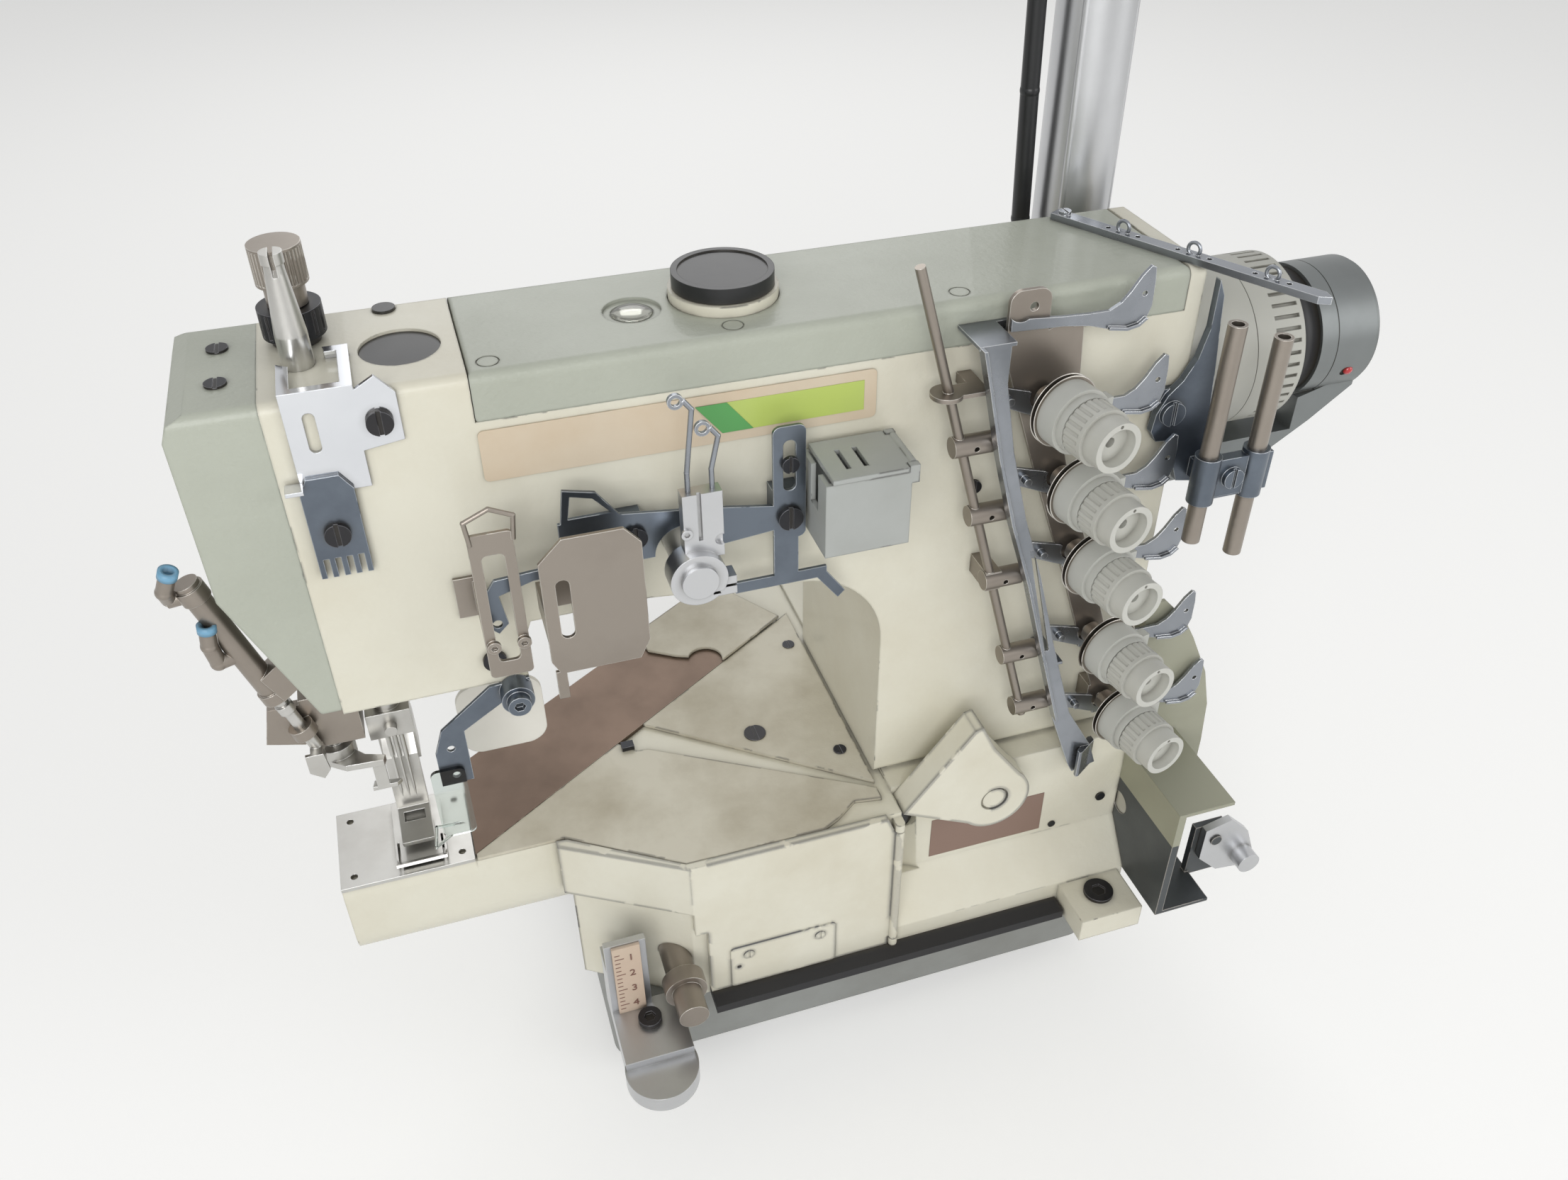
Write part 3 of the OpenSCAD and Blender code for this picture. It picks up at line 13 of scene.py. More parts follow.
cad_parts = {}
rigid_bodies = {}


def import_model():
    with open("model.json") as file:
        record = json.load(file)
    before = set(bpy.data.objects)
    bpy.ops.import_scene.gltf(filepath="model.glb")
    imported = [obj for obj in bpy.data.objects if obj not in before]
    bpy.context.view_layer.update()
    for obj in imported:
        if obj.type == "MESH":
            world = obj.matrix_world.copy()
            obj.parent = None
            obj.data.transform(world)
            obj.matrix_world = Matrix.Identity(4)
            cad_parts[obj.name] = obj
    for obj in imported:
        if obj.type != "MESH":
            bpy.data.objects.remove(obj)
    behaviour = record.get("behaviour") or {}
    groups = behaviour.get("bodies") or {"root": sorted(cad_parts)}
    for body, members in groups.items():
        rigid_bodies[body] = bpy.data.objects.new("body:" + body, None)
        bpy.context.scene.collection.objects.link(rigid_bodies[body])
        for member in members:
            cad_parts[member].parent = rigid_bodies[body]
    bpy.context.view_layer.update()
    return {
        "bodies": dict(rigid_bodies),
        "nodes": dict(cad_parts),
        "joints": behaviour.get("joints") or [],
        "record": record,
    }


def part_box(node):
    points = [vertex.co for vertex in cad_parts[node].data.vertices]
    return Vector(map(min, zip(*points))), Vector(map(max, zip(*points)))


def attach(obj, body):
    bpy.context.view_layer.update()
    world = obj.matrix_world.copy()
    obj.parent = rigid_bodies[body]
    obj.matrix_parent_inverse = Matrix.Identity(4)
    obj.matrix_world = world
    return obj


LOG = logging.getLogger("machine_head")
MM = 0.001

# Rays of the nodes that look for edges and corners
EDGE_SAMPLES = 4

# What the finishes share: bending of light in glass, dullness of stains, lines of brushed metal
GLASS_IOR = 1.46
STAIN_ROUGHNESS = 0.3
BRUSH_DENSITY = 1400.0
BRUSH_DEPTH = 0.006 * MM

# Half the width of the seam between two colours, and how close points are joined, in metres
SEAM_HALF_WIDTH = 0.2 * MM
WELD_DISTANCE = 1e-6

# What a node's input can be given
Given = bpy.types.NodeSocket | float | tuple


class Axis(Enum):
    """A direction of the common frame."""

    X = "x"
    Y = "y"
    Z = "z"


class Effect(Enum):
    """Shader groups that several finishes share."""

    GRAIN = "surface_grain"
    # Chipped paint on painted finishes, painted highlights along the edges of bare metal
    CHIPS = "edge_chips"
    SMUDGE = "oily_smudge"
    BRUSH = "brushed_lines"
    # Painted shade in grooves, seams and inner corners
    GRIME = "grime_in_corners"


@dataclass(frozen=True)
class Colour:
    """A colour written as the eye reads it, in display values from 0 to 255."""

    red: int
    green: int
    blue: int

    def linear(self) -> tuple[float, float, float, float]:
        """Turns the colour into the linear values that a shader takes, by the sRGB curve.

        Returns:
            Red, green, blue and an alpha of 1.
        """
        values = []
        for part in (self.red, self.green, self.blue):
            shown = part / 255
            values.append(shown / 12.92 if shown <= 0.04045 else ((shown + 0.055) / 1.055) ** 2.4)
        return (values[0], values[1], values[2], 1.0)


@dataclass(frozen=True)
class Finish:
    """One surface finish, under the name of its slot in the record or a name of its own.

    Attributes:
        slot: Name of the material.
        colour: Main colour.
        shade: Colour of the smudges.
        roughness: Roughness of the clean surface.
        metallic: 1 for bare metal, 0 for paint and plastic.
        grain: Height of the fine unevenness, in millimetres.
        grain_size: Size of that unevenness, in millimetres.
        edge: Radius over which edges catch the light, in millimetres.
        chips: Share of the edges that get the edge colour, from 0 to 1: chipped paint on painted
            finishes, a painted highlight on bare metal.
        chip_width: How far the edge colour reaches from an edge, in millimetres.
        chip_colour: The edge colour: dark where paint is chipped, light for a painted highlight on
            metal.
        smudge: Strength of the stains, from 0 to 1.
        grime: Strength of the painted shade in grooves and corners, from 0 to 1.
        grime_width: How far that painted shade reaches from a corner, in millimetres.
        coat: Weight of a clear coat.
        brushed: Whether the metal has brushed lines.
        transmission: 1 for glass and clear plastic.
    """

    slot: str
    colour: Colour
    shade: Colour
    roughness: float
    metallic: float = 0.0
    grain: float = 0.0
    grain_size: float = 2.0
    edge: float = 0.4
    chips: float = 0.0
    chip_width: float = 1.3
    chip_colour: Colour = Colour(70, 68, 66)
    smudge: float = 0.25
    grime: float = 0.6
    grime_width: float = 3.0
    coat: float = 0.0
    brushed: bool = False
    transmission: float = 0.0


CREAM = Colour(221, 218, 202)
# Colour of the painted shade that darkens grooves and corners
PAINTED_SHADE_COLOUR = Colour(84, 78, 66)

# Finishes of the record's slots
FINISHES = (
    Finish("cream_paint", CREAM, Colour(186, 174, 144), 0.4, grain=0.12, grain_size=2.4,
           edge=1.5, chips=0.35, smudge=0.3, coat=0.2),
    Finish("grey_green_paint", Colour(178, 182, 169), Colour(140, 142, 128), 0.4, grain=0.24,
           grain_size=2.2, edge=1.4, chips=0.2, smudge=0.25, coat=0.15),
    # The light edge colours of nickel, blued, machined, oxide and browned steel below are painted
    # highlights
    Finish("nickel_plate", Colour(152, 144, 135), Colour(104, 94, 86), 0.33, 0.85, chips=1.0,
           chip_width=0.45, chip_colour=Colour(232, 228, 220), smudge=0.35, brushed=True),
    Finish("blued_steel", Colour(110, 118, 128), Colour(60, 66, 76), 0.28, 0.9, chips=1.0,
           chip_width=0.5, chip_colour=Colour(214, 219, 224), smudge=0.75),
    Finish("chrome_plate", Colour(214, 216, 220), Colour(150, 154, 162), 0.13, 1.0, smudge=0.2),
    Finish("machined_steel", Colour(200, 199, 195), Colour(124, 116, 106), 0.28, 0.95, chips=1.0,
           chip_width=0.4, chip_colour=Colour(236, 236, 234), smudge=0.45),
    Finish("bright_aluminium", Colour(200, 201, 203), Colour(140, 140, 138), 0.32, 1.0,
           brushed=True),
    Finish("black_oxide", Colour(44, 45, 49), Colour(74, 66, 58), 0.38, 0.6, chips=0.9,
           chip_width=0.35, chip_colour=Colour(138, 138, 142), smudge=0.35),
    Finish("black_plastic", Colour(24, 25, 27), Colour(52, 52, 52), 0.3, grain=0.01, smudge=0.3),
    Finish("grey_plastic", Colour(196, 197, 191), Colour(152, 150, 140), 0.45, smudge=0.2),
    Finish("pale_grey_plastic", Colour(196, 196, 189), Colour(156, 154, 143), 0.4, smudge=0.2),
    Finish("box_grey_paint", Colour(170, 173, 170), Colour(120, 118, 108), 0.4, grain=0.02,
           edge=0.8, chips=0.35, smudge=0.3),
    Finish("olive_paint", Colour(160, 160, 142), Colour(112, 108, 90), 0.5, grain=0.02,
           smudge=0.35),
    Finish("pan_paint", Colour(142, 144, 141), Colour(96, 92, 82), 0.5, grain=0.06, edge=1.2,
           chips=0.2, smudge=0.4),
    Finish("rubber_black", Colour(36, 36, 38), Colour(62, 58, 54), 0.75, grain=0.02),
    Finish("clear_plastic", Colour(222, 230, 226), Colour(200, 204, 200), 0.08, smudge=0.1,
           transmission=1.0),
    Finish("sight_glass", Colour(205, 206, 196), Colour(150, 140, 110), 0.06, smudge=0.1,
           transmission=0.85),
    Finish("white_paint", Colour(222, 220, 212), Colour(180, 172, 156), 0.4, grain=0.02, edge=0.8),
    Finish("brown_label", Colour(136, 112, 100), Colour(100, 84, 74), 0.4, 0.4, smudge=0.4),
    Finish("browned_steel", Colour(108, 90, 77), Colour(78, 64, 54), 0.32, 0.6, chips=1.0,
           chip_width=0.6, chip_colour=Colour(170, 156, 142), smudge=0.6, brushed=True),
    Finish("drum_grey_paint", Colour(180, 180, 172), Colour(134, 130, 118), 0.42, grain=0.02,
           edge=0.6, smudge=0.3),
    Finish("satin_grey_metal", Colour(128, 132, 132), Colour(92, 92, 90), 0.38, 0.7, smudge=0.35),
)

# Finishes of the dressed pieces, and closer ones for some of the solids
EXTRA_FINISHES = (
    Finish("worn_cream_paint", CREAM, Colour(180, 168, 138), 0.42, grain=0.07, grain_size=2.4,
           edge=1.3, chips=0.85, chip_width=3.4, chip_colour=Colour(92, 92, 94), smudge=0.4,
           coat=0.2),
    # Darker cream with heavier stains, for the bed plates
    Finish("soiled_cream_paint", Colour(208, 203, 186), Colour(150, 138, 112), 0.45, grain=0.12,
           grain_size=2.4, edge=1.3, chips=0.55, chip_width=1.8, smudge=0.75, coat=0.1),
    Finish("label_white", Colour(212, 198, 176), Colour(196, 170, 136), 0.35, edge=0.1, smudge=0.6),
    Finish("label_lime", Colour(184, 202, 104), Colour(168, 184, 116), 0.35, edge=0.1, smudge=0.4),
    Finish("label_green", Colour(88, 160, 88), Colour(80, 146, 80), 0.35, edge=0.1, smudge=0.2),
    Finish("scale_beige", Colour(204, 188, 168), Colour(186, 154, 136), 0.4, smudge=0.6),
    Finish("ink", Colour(122, 86, 76), Colour(122, 86, 76), 0.5, edge=0.05, smudge=0.0),
    Finish("lamp_red", Colour(190, 24, 34), Colour(120, 12, 20), 0.12, edge=0.1, coat=0.6),
    Finish("collar_blue", Colour(120, 170, 200), Colour(90, 130, 165), 0.35, edge=0.2),
    # The light edge colours of the dull chrome and the dark sheet are painted highlights
    Finish("dull_chrome", Colour(150, 154, 160), Colour(92, 96, 102), 0.22, 0.9, chips=1.0,
           chip_width=0.5, chip_colour=Colour(236, 238, 240), smudge=0.6),
    Finish("dark_sheet", Colour(78, 82, 84), Colour(52, 52, 52), 0.4, 0.5, chips=1.0,
           chip_width=0.7, chip_colour=Colour(196, 190, 182), smudge=0.5),
    # Near black: the painted shadow in the gap between the handwheel and the detector
    Finish("sleeve_black", Colour(30, 30, 32), Colour(56, 54, 52), 0.5),
)

# Finishes that the photograph shows more closely than the record's slots do
REFINED = {
    "bed_plates": "soiled_cream_paint",
    "front_cover": "worn_cream_paint",
    "wedge_cover": "worn_cream_paint",
    "slotted_screws": "black_oxide",
    "push_knob": "nickel_plate",
    "guide_ladder": "nickel_plate",
    "guide_channel": "dull_chrome",
    "thread_hooks": "dull_chrome",
    "top_thread_bar": "dull_chrome",
    "take_up_wires": "dull_chrome",
}


@dataclass(frozen=True)
class TwoTone:
    """A piece with two colours.

    Attributes:
        node: Name of the piece.
        lower: Name of the finish up to the level.
        upper: Name of the finish whose colour covers the rest.
        axis: The direction in which the colours follow each other.
        share: Place of the level, as a share of the piece's own length.
    """

    node: str
    lower: str
    upper: str
    axis: Axis
    share: float


TWO_TONE = (
    TwoTone("cam_guard", "dark_sheet", "olive_paint", Axis.Z, 0.7),
    TwoTone("marking_plates", "scale_beige", "brown_label", Axis.X, 0.44),
)


class NodeDesk:
    """Adds nodes to one tree, whose inputs are given as sockets to link or as plain values."""

    def __init__(self, tree: bpy.types.NodeTree) -> None:
        """Takes the tree that gets the nodes."""
        self.tree = tree

    def give(self, place: bpy.types.NodeSocket, value: Given) -> None:
        """Links a socket to an input, or writes a plain value to it.

        Args:
            place: The input.
            value: What it gets.
        """
        if isinstance(value, bpy.types.NodeSocket):
            self.tree.links.new(value, place)
        else:
            place.default_value = value

    def add(self, kind: str, **values: Given) -> bpy.types.Node:
        """Adds a node of any kind.

        Args:
            kind: Name of the node type.
            **values: What its inputs get, with "_" for a blank in the input's name.

        Returns:
            The node.
        """
        node = self.tree.nodes.new(kind)
        for name, value in values.items():
            self.give(node.inputs[name.replace("_", " ")], value)
        return node

    def math(self, operation: str, *values: Given) -> bpy.types.NodeSocket:
        """Adds a math node.

        Args:
            operation: What it works out.
            *values: What its inputs get, in their order.

        Returns:
            The result.
        """
        node = self.add("ShaderNodeMath")
        node.operation = operation
        for place, value in zip(node.inputs, values):
            self.give(place, value)
        return node.outputs[0]

    def map_range(self, value: Given, start: tuple[float, float] = (0.0, 1.0),
                  end: tuple[float, float] = (0.0, 1.0)) -> bpy.types.NodeSocket:
        """Maps a value from one range to another, holds it there and returns it."""
        return self.add("ShaderNodeMapRange", Value=value, From_Min=start[0], From_Max=start[1],
                        To_Min=end[0], To_Max=end[1]).outputs["Result"]

    def mix(self, mask: Given, first: Given, second: Given) -> bpy.types.NodeSocket:
        """Mixes two colours.

        Args:
            mask: 0 for the first colour, 1 for the second.
            first: The first colour.
            second: The second colour.

        Returns:
            The mixed colour.
        """
        node = self.add("ShaderNodeMix")
        node.data_type = "RGBA"
        for name, value in (("Factor", mask), ("A", first), ("B", second)):
            self.give(node.inputs[name], value)
        return node.outputs["Result"]

    def noise(self, scale: Given, detail: float, roughness: float = 0.5,
              stretch: tuple[float, float, float] | None = None) -> bpy.types.NodeSocket:
        """Adds a noise over object space.

        Args:
            scale: Noise scale, per metre.
            detail: Number of noise octaves.
            roughness: Strength of the finer octaves.
            stretch: Scale along each axis, or None for an even noise.

        Returns:
            The noise value.
        """
        place = self.add("ShaderNodeTexCoord").outputs["Object"]
        if stretch:
            place = self.add("ShaderNodeMapping", Vector=place, Scale=stretch).outputs["Vector"]
        return self.add("ShaderNodeTexNoise", Vector=place, Scale=scale, Detail=detail,
                        Roughness=roughness).outputs["Fac"]

    def rounded_normal(self, radius: Given) -> bpy.types.NodeSocket:
        """Adds the normal of the surface as if its edges were rounded.

        Args:
            radius: Radius of the edges, in metres.

        Returns:
            The normal.
        """
        node = self.add("ShaderNodeBevel", Radius=radius)
        node.samples = EDGE_SAMPLES
        return node.outputs["Normal"]


class NodeGroups:
    """Builds the shared shader groups once and hands them out by effect."""

    def __init__(self) -> None:
        """Builds every group."""
        self._groups = {
            Effect.GRAIN: self._grain(),
            Effect.CHIPS: self._chips(),
            Effect.SMUDGE: self._smudge(),
            Effect.BRUSH: self._brush(),
            Effect.GRIME: self._grime(),
        }

    def place(self, desk: NodeDesk, effect: Effect, **values: float) -> bpy.types.NodeSocket:
        """Places one shared group in a material.

        Args:
            desk: Desk of the material's tree.
            effect: The effect that is wanted.
            **values: What the group's inputs get.

        Returns:
            The group's output.
        """
        node = desk.add("ShaderNodeGroup")
        node.node_tree = self._groups[effect]
        for name, value in values.items():
            node.inputs[name].default_value = value
        return node.outputs[0]

    @staticmethod
    def _new(effect: Effect, output: str, **inputs: float) -> tuple[
            NodeDesk, bpy.types.NodeOutputs, bpy.types.NodeSocket]:
        """Makes an empty group with its sockets.

        Args:
            effect: Names the group.
            output: Name of its only output.
            **inputs: Name and default value of each input.

        Returns:
            The group's desk, what its inputs give, and the place of its output.
        """
        group = bpy.data.node_groups.new(effect.value, "ShaderNodeTree")
        for name, value in inputs.items():
            socket = group.interface.new_socket(name=name, in_out="INPUT",
                                                socket_type="NodeSocketFloat")
            socket.default_value = value
        group.interface.new_socket(name=output, in_out="OUTPUT", socket_type="NodeSocketFloat")
        desk = NodeDesk(group)
        given = desk.add("NodeGroupInput").outputs
        return desk, given, desk.add("NodeGroupOutput").inputs[output]

    def _grain(self) -> bpy.types.NodeTree:
        """Builds the fine unevenness of cast and painted faces.

        Returns:
            A group that gives a height from a size in millimetres.
        """
        desk, given, out = self._new(Effect.GRAIN, "Height", Size=2.0)
        per_metre = desk.math("DIVIDE", 1 / MM, given["Size"])
        desk.give(out, desk.noise(per_metre, detail=2.0))
        return desk.tree

    def _chips(self) -> bpy.types.NodeTree:
        """Builds the colour along sharp edges: chipped paint on painted finishes, a painted
        highlight on bare metal.

        Returns:
            A group that gives a mask from an amount and a reach in metres.
        """
        flat, sharp = 0.985, 0.86
        rarest, rise, soft = 0.68, -0.3, 0.03
        desk, given, out = self._new(Effect.CHIPS, "Mask", Amount=0.4, Reach=1.3 * MM)
        bend = desk.add("ShaderNodeVectorMath")
        bend.operation = "DOT_PRODUCT"
        desk.give(bend.inputs[0], desk.rounded_normal(given["Reach"]))
        desk.give(bend.inputs[1], desk.add("ShaderNodeNewGeometry").outputs["Normal"])
        near_edge = desk.map_range(bend.outputs["Value"], start=(flat, sharp))
        patches = desk.noise(scale=60.0, detail=7.0)
        threshold = desk.math("MULTIPLY_ADD", given["Amount"], rise, rarest)
        in_patches = desk.map_range(desk.math("SUBTRACT", patches, threshold), start=(0.0, soft))
        desk.give(out, desk.math("MULTIPLY", near_edge, in_patches))
        return desk.tree

    def _smudge(self) -> bpy.types.NodeTree:
        """Builds the soft stains of oil and dust.

        Returns:
            A group that gives a mask from an amount.
        """
        clean, stained = 0.42, 0.78
        desk, given, out = self._new(Effect.SMUDGE, "Mask", Amount=0.3)
        clouds = desk.noise(scale=14.0, detail=8.0, roughness=0.62)
        stains = desk.map_range(clouds, start=(clean, stained))
        desk.give(out, desk.math("MULTIPLY", stains, given["Amount"]))
        return desk.tree

    def _brush(self) -> bpy.types.NodeTree:
        """Builds the fine lines of turned and brushed metal.

        Returns:
            A group that gives a height from a density of lines, per metre.
        """
        along_the_lines = 0.04
        desk, given, out = self._new(Effect.BRUSH, "Height", Density=900.0)
        lines = desk.noise(given["Density"], detail=3.0, stretch=(1.0, 1.0, along_the_lines))
        desk.give(out, lines)
        return desk.tree

    def _grime(self) -> bpy.types.NodeTree:
        """Builds the painted shade in grooves, seams and inner corners, from ambient occlusion
        broken into patches.

        Returns:
            A group that gives a mask from an amount and a reach in metres.
        """
        open_face, deep_groove = 0.92, 0.35
        faint_patch, full_patch, least = 0.3, 0.6, 0.35
        desk, given, out = self._new(Effect.GRIME, "Mask", Amount=0.5, Reach=3 * MM)
        hollow = desk.add("ShaderNodeAmbientOcclusion", Distance=given["Reach"])
        hollow.samples = EDGE_SAMPLES
        depth = desk.map_range(hollow.outputs["AO"], start=(open_face, deep_groove))
        patches = desk.map_range(desk.noise(scale=70.0, detail=5.0), start=(faint_patch, full_patch),
                                 end=(least, 1.0))
        corner_shade = desk.math("MULTIPLY", depth, patches)
        desk.give(out, desk.math("MULTIPLY", corner_shade, given["Amount"]))
        return desk.tree


class FinishShop:
    """Makes one material for each finish and puts it on pieces."""

    def __init__(self, finishes: tuple[Finish, ...]) -> None:
        """Builds all the materials.

        Args:
            finishes: The finishes that the object needs.
        """
        self._groups = NodeGroups()
        self._finishes = {finish.slot: finish for finish in finishes}
        self._materials = {finish.slot: self._build(finish) for finish in finishes}

    def paint(self, piece: bpy.types.Object, slot: str) -> None:
        """Gives a whole piece the finish of that name."""
        self._cover(piece, self._materials[slot])

    def paint_two_tone(self, piece: bpy.types.Object, tones: TwoTone) -> None:
        """Gives a piece one finish up to a level and the colour of another one beyond it.

        Args:
            piece: The object to paint.
            tones: Its two finishes and their level.
        """
        places = [getattr(vertex.co, tones.axis.value) for vertex in piece.data.vertices]
        level = min(places) + tones.share * (max(places) - min(places))
        material = self._materials[tones.lower].copy()
        material.name = f"{tones.lower}_and_{tones.upper}"
        desk = NodeDesk(material.node_tree)
        colour = desk.tree.nodes["Principled BSDF"].inputs["Base Color"]
        place = desk.add("ShaderNodeTexCoord").outputs["Object"]
        along = desk.add("ShaderNodeSeparateXYZ", Vector=place).outputs[tones.axis.name]
        beyond = desk.map_range(along, start=(level - SEAM_HALF_WIDTH, level + SEAM_HALF_WIDTH))
        upper = self._finishes[tones.upper].colour.linear()
        desk.give(colour, desk.mix(beyond, colour.links[0].from_socket, upper))
        self._cover(piece, material)

    @staticmethod
    def _cover(piece: bpy.types.Object, material: bpy.types.Material) -> None:
        """Makes a material the only one of a piece."""
        piece.data.materials.clear()
        piece.data.materials.append(material)

    def _build(self, finish: Finish) -> bpy.types.Material:
        """Builds the material of one finish.

        Args:
            finish: Its values.

        Returns:
            The new material.
        """
        material = bpy.data.materials.new(finish.slot)
        material.use_nodes = True
        shader = material.node_tree.nodes["Principled BSDF"]
        shader.inputs["Base Color"].default_value = finish.colour.linear()
        shader.inputs["Roughness"].default_value = finish.roughness
        shader.inputs["Metallic"].default_value = finish.metallic
        shader.inputs["Coat Weight"].default_value = finish.coat
        if finish.transmission > 0:
            shader.inputs["Transmission Weight"].default_value = finish.transmission
            shader.inputs["IOR"].default_value = GLASS_IOR
            return material
        desk = NodeDesk(material.node_tree)
        self._dress_colour(desk, shader, finish)
        self._dress_relief(desk, shader, finish)
        return material

    def _dress_colour(self, desk: NodeDesk, shader: bpy.types.Node, finish: Finish) -> None:
        """Links stains, painted shade in corners and the edge colour to the colour, and the stains
        to the roughness too.

        Args:
            desk: Desk of the material's tree.
            shader: Its main shader.
            finish: Its values.
        """
        stains = self._groups.place(desk, Effect.SMUDGE, Amount=finish.smudge)
        dull = min(1.0, finish.roughness + STAIN_ROUGHNESS)
        desk.give(shader.inputs["Roughness"], desk.map_range(stains, end=(finish.roughness, dull)))
        colour = desk.mix(stains, finish.colour.linear(), finish.shade.linear())
        # Painted shade: darkens grooves, seams and inner corners found by ambient occlusion
        corner_shade = self._groups.place(desk, Effect.GRIME, Amount=finish.grime,
                                  Reach=finish.grime_width * MM)
        colour = desk.mix(corner_shade, colour, PAINTED_SHADE_COLOUR.linear())
        if finish.chips > 0:
            # Edge colour: chipped paint on painted finishes, a painted highlight on bare metal
            chips = self._groups.place(desk, Effect.CHIPS, Amount=finish.chips,
                                       Reach=finish.chip_width * MM)
            colour = desk.mix(chips, colour, finish.chip_colour.linear())
        desk.give(shader.inputs["Base Color"], colour)

    def _dress_relief(self, desk: NodeDesk, shader: bpy.types.Node, finish: Finish) -> None:
        """Links softened edges and fine relief to the normal.

        Args:
            desk: Desk of the material's tree.
            shader: Its main shader.
            finish: Its values.
        """
        reliefs = []
        if finish.grain > 0:
            grain = self._groups.place(desk, Effect.GRAIN, Size=finish.grain_size)
            reliefs.append((grain, finish.grain * MM))
        if finish.brushed:
            lines = self._groups.place(desk, Effect.BRUSH, Density=BRUSH_DENSITY)
            reliefs.append((lines, BRUSH_DEPTH))
        normal = desk.rounded_normal(finish.edge * MM)
        for height, depth in reliefs:
            normal = desk.add("ShaderNodeBump", Strength=1.0, Distance=depth, Height=height,
                              Normal=normal).outputs["Normal"]
        desk.give(shader.inputs["Normal"], normal)


@dataclass(frozen=True)
class ArmFrame:
    """Places things from the lower left front corner of the arm, in millimetres."""

    corner: Vector

    @classmethod
    def from_frame(cls) -> "ArmFrame":
        """Finds the corner from the face cover, whose right side is the arm's left end."""
        low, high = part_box("face_cover")
        return cls(Vector((high[0], low[1], low[2])))

    def at(self, x: float, y: float, z: float) -> Vector:
        """Returns the point in the common frame, in metres."""
        return self.corner + Vector((x, y, z)) * MM


@dataclass
class Workshop:
    """What every sub-assembly needs: its place, its finishes and simple ways to make meshes.

    Attributes:
        arm: The arm's corner, from which places are measured.
        shop: The finishes.
        body: The body that the new pieces ride on.
        made: Names of the pieces made so far.
    """

    arm: ArmFrame
    shop: FinishShop
    body: str = "base"
    made: list[str] = field(default_factory=list)

    def keep(self, piece: bpy.types.Object, slot: str) -> None:
        """Puts a new piece in the scene, gives it a finish and sets it on its body.

        Args:
            piece: The new piece.
            slot: Its finish.
        """
        bpy.context.scene.collection.objects.link(piece)
        self.shop.paint(piece, slot)
        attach(piece, self.body)
        self.made.append(piece.name)

    def _close(self, name: str, build: bmesh.types.BMesh, slot: str) -> None:
        """Turns finished faces into a piece.

        Args:
            name: Name of the piece.
            build: Its faces, in metres.
            slot: Its finish.
        """
        bmesh.ops.recalc_face_normals(build, faces=build.faces)
        mesh = bpy.data.meshes.new(name)
        build.to_mesh(mesh)
        build.free()
        self.keep(bpy.data.objects.new(name, mesh), slot)

    def plate(self, name: str, outline: list[tuple[float, float]], front: float, back: float,
              slot: str) -> None:
        """Makes a flat piece that faces the front.

        Args:
            name: Name of the piece.
            outline: Its points, along the arm and upwards from its corner, in millimetres.
            front: Depth of its front face, in millimetres.
            back: Depth of its back face, in millimetres.
            slot: Its finish.
        """
        build = bmesh.new()
        ahead, behind = ([build.verts.new(self.arm.at(x, depth, z)) for x, z in outline]
                         for depth in (front, back))
        build.faces.new(ahead)
        build.faces.new(behind)
        self._wall(build, ahead, behind)
        self._close(name, build, slot)

    def lathe(self, name: str, profile: list[tuple[float, float]], start: Vector, along: Vector,
              slot: str, steps: int) -> None:
        """Makes a turned piece.

        Args:
            name: Name of the piece.
            profile: Distance along the axis and radius of each ring, in millimetres.
            start: Where the axis starts, in metres.
            along: Direction of the axis.
            slot: Its finish.
            steps: Number of sides of the rings.
        """
        turn = Vector((0, 0, 1)).rotation_difference(along.normalized()).to_matrix()
        angles = [2 * math.pi * k / steps for k in range(steps)]
        build = bmesh.new()
        rings = []
        for distance, radius in profile:
            places = [Vector((radius * math.cos(angle), radius * math.sin(angle), distance))
                      for angle in angles]
            rings.append([build.verts.new(start + turn @ (place * MM)) for place in places])
        for lower, upper in zip(rings, rings[1:]):
            self._wall(build, lower, upper)
        build.faces.new(list(reversed(rings[0])))
        build.faces.new(rings[-1])
        bmesh.ops.remove_doubles(build, verts=build.verts, dist=WELD_DISTANCE)
        for face in build.faces:
            face.smooth = len(face.verts) == 4
        self._close(name, build, slot)

    @staticmethod
    def _wall(build: bmesh.types.BMesh, lower: list, upper: list) -> None:
        """Joins two rings of points by faces of four corners.

        Args:
            build: Mesh that gets the faces.
            lower: Points of the first ring.
            upper: Points of the second ring, in the same order.
        """
        for k in range(len(lower)):
            n = (k + 1) % len(lower)
            build.faces.new((lower[k], lower[n], upper[n], upper[k]))


@dataclass
class PackedPieces:
    """The solids that keep their shape and only get a finish."""

    work: Workshop

    def dress(self, frame: dict) -> None:
        """Gives every solid its finish.
        """
        for part in frame["record"]["subparts"]:
            slot = REFINED.get(part["node"], part["material_slot"])
            self.work.shop.paint(frame["nodes"][part["node"]], slot)
        for tones in TWO_TONE:
            self.work.shop.paint_two_tone(frame["nodes"][tones.node], tones)


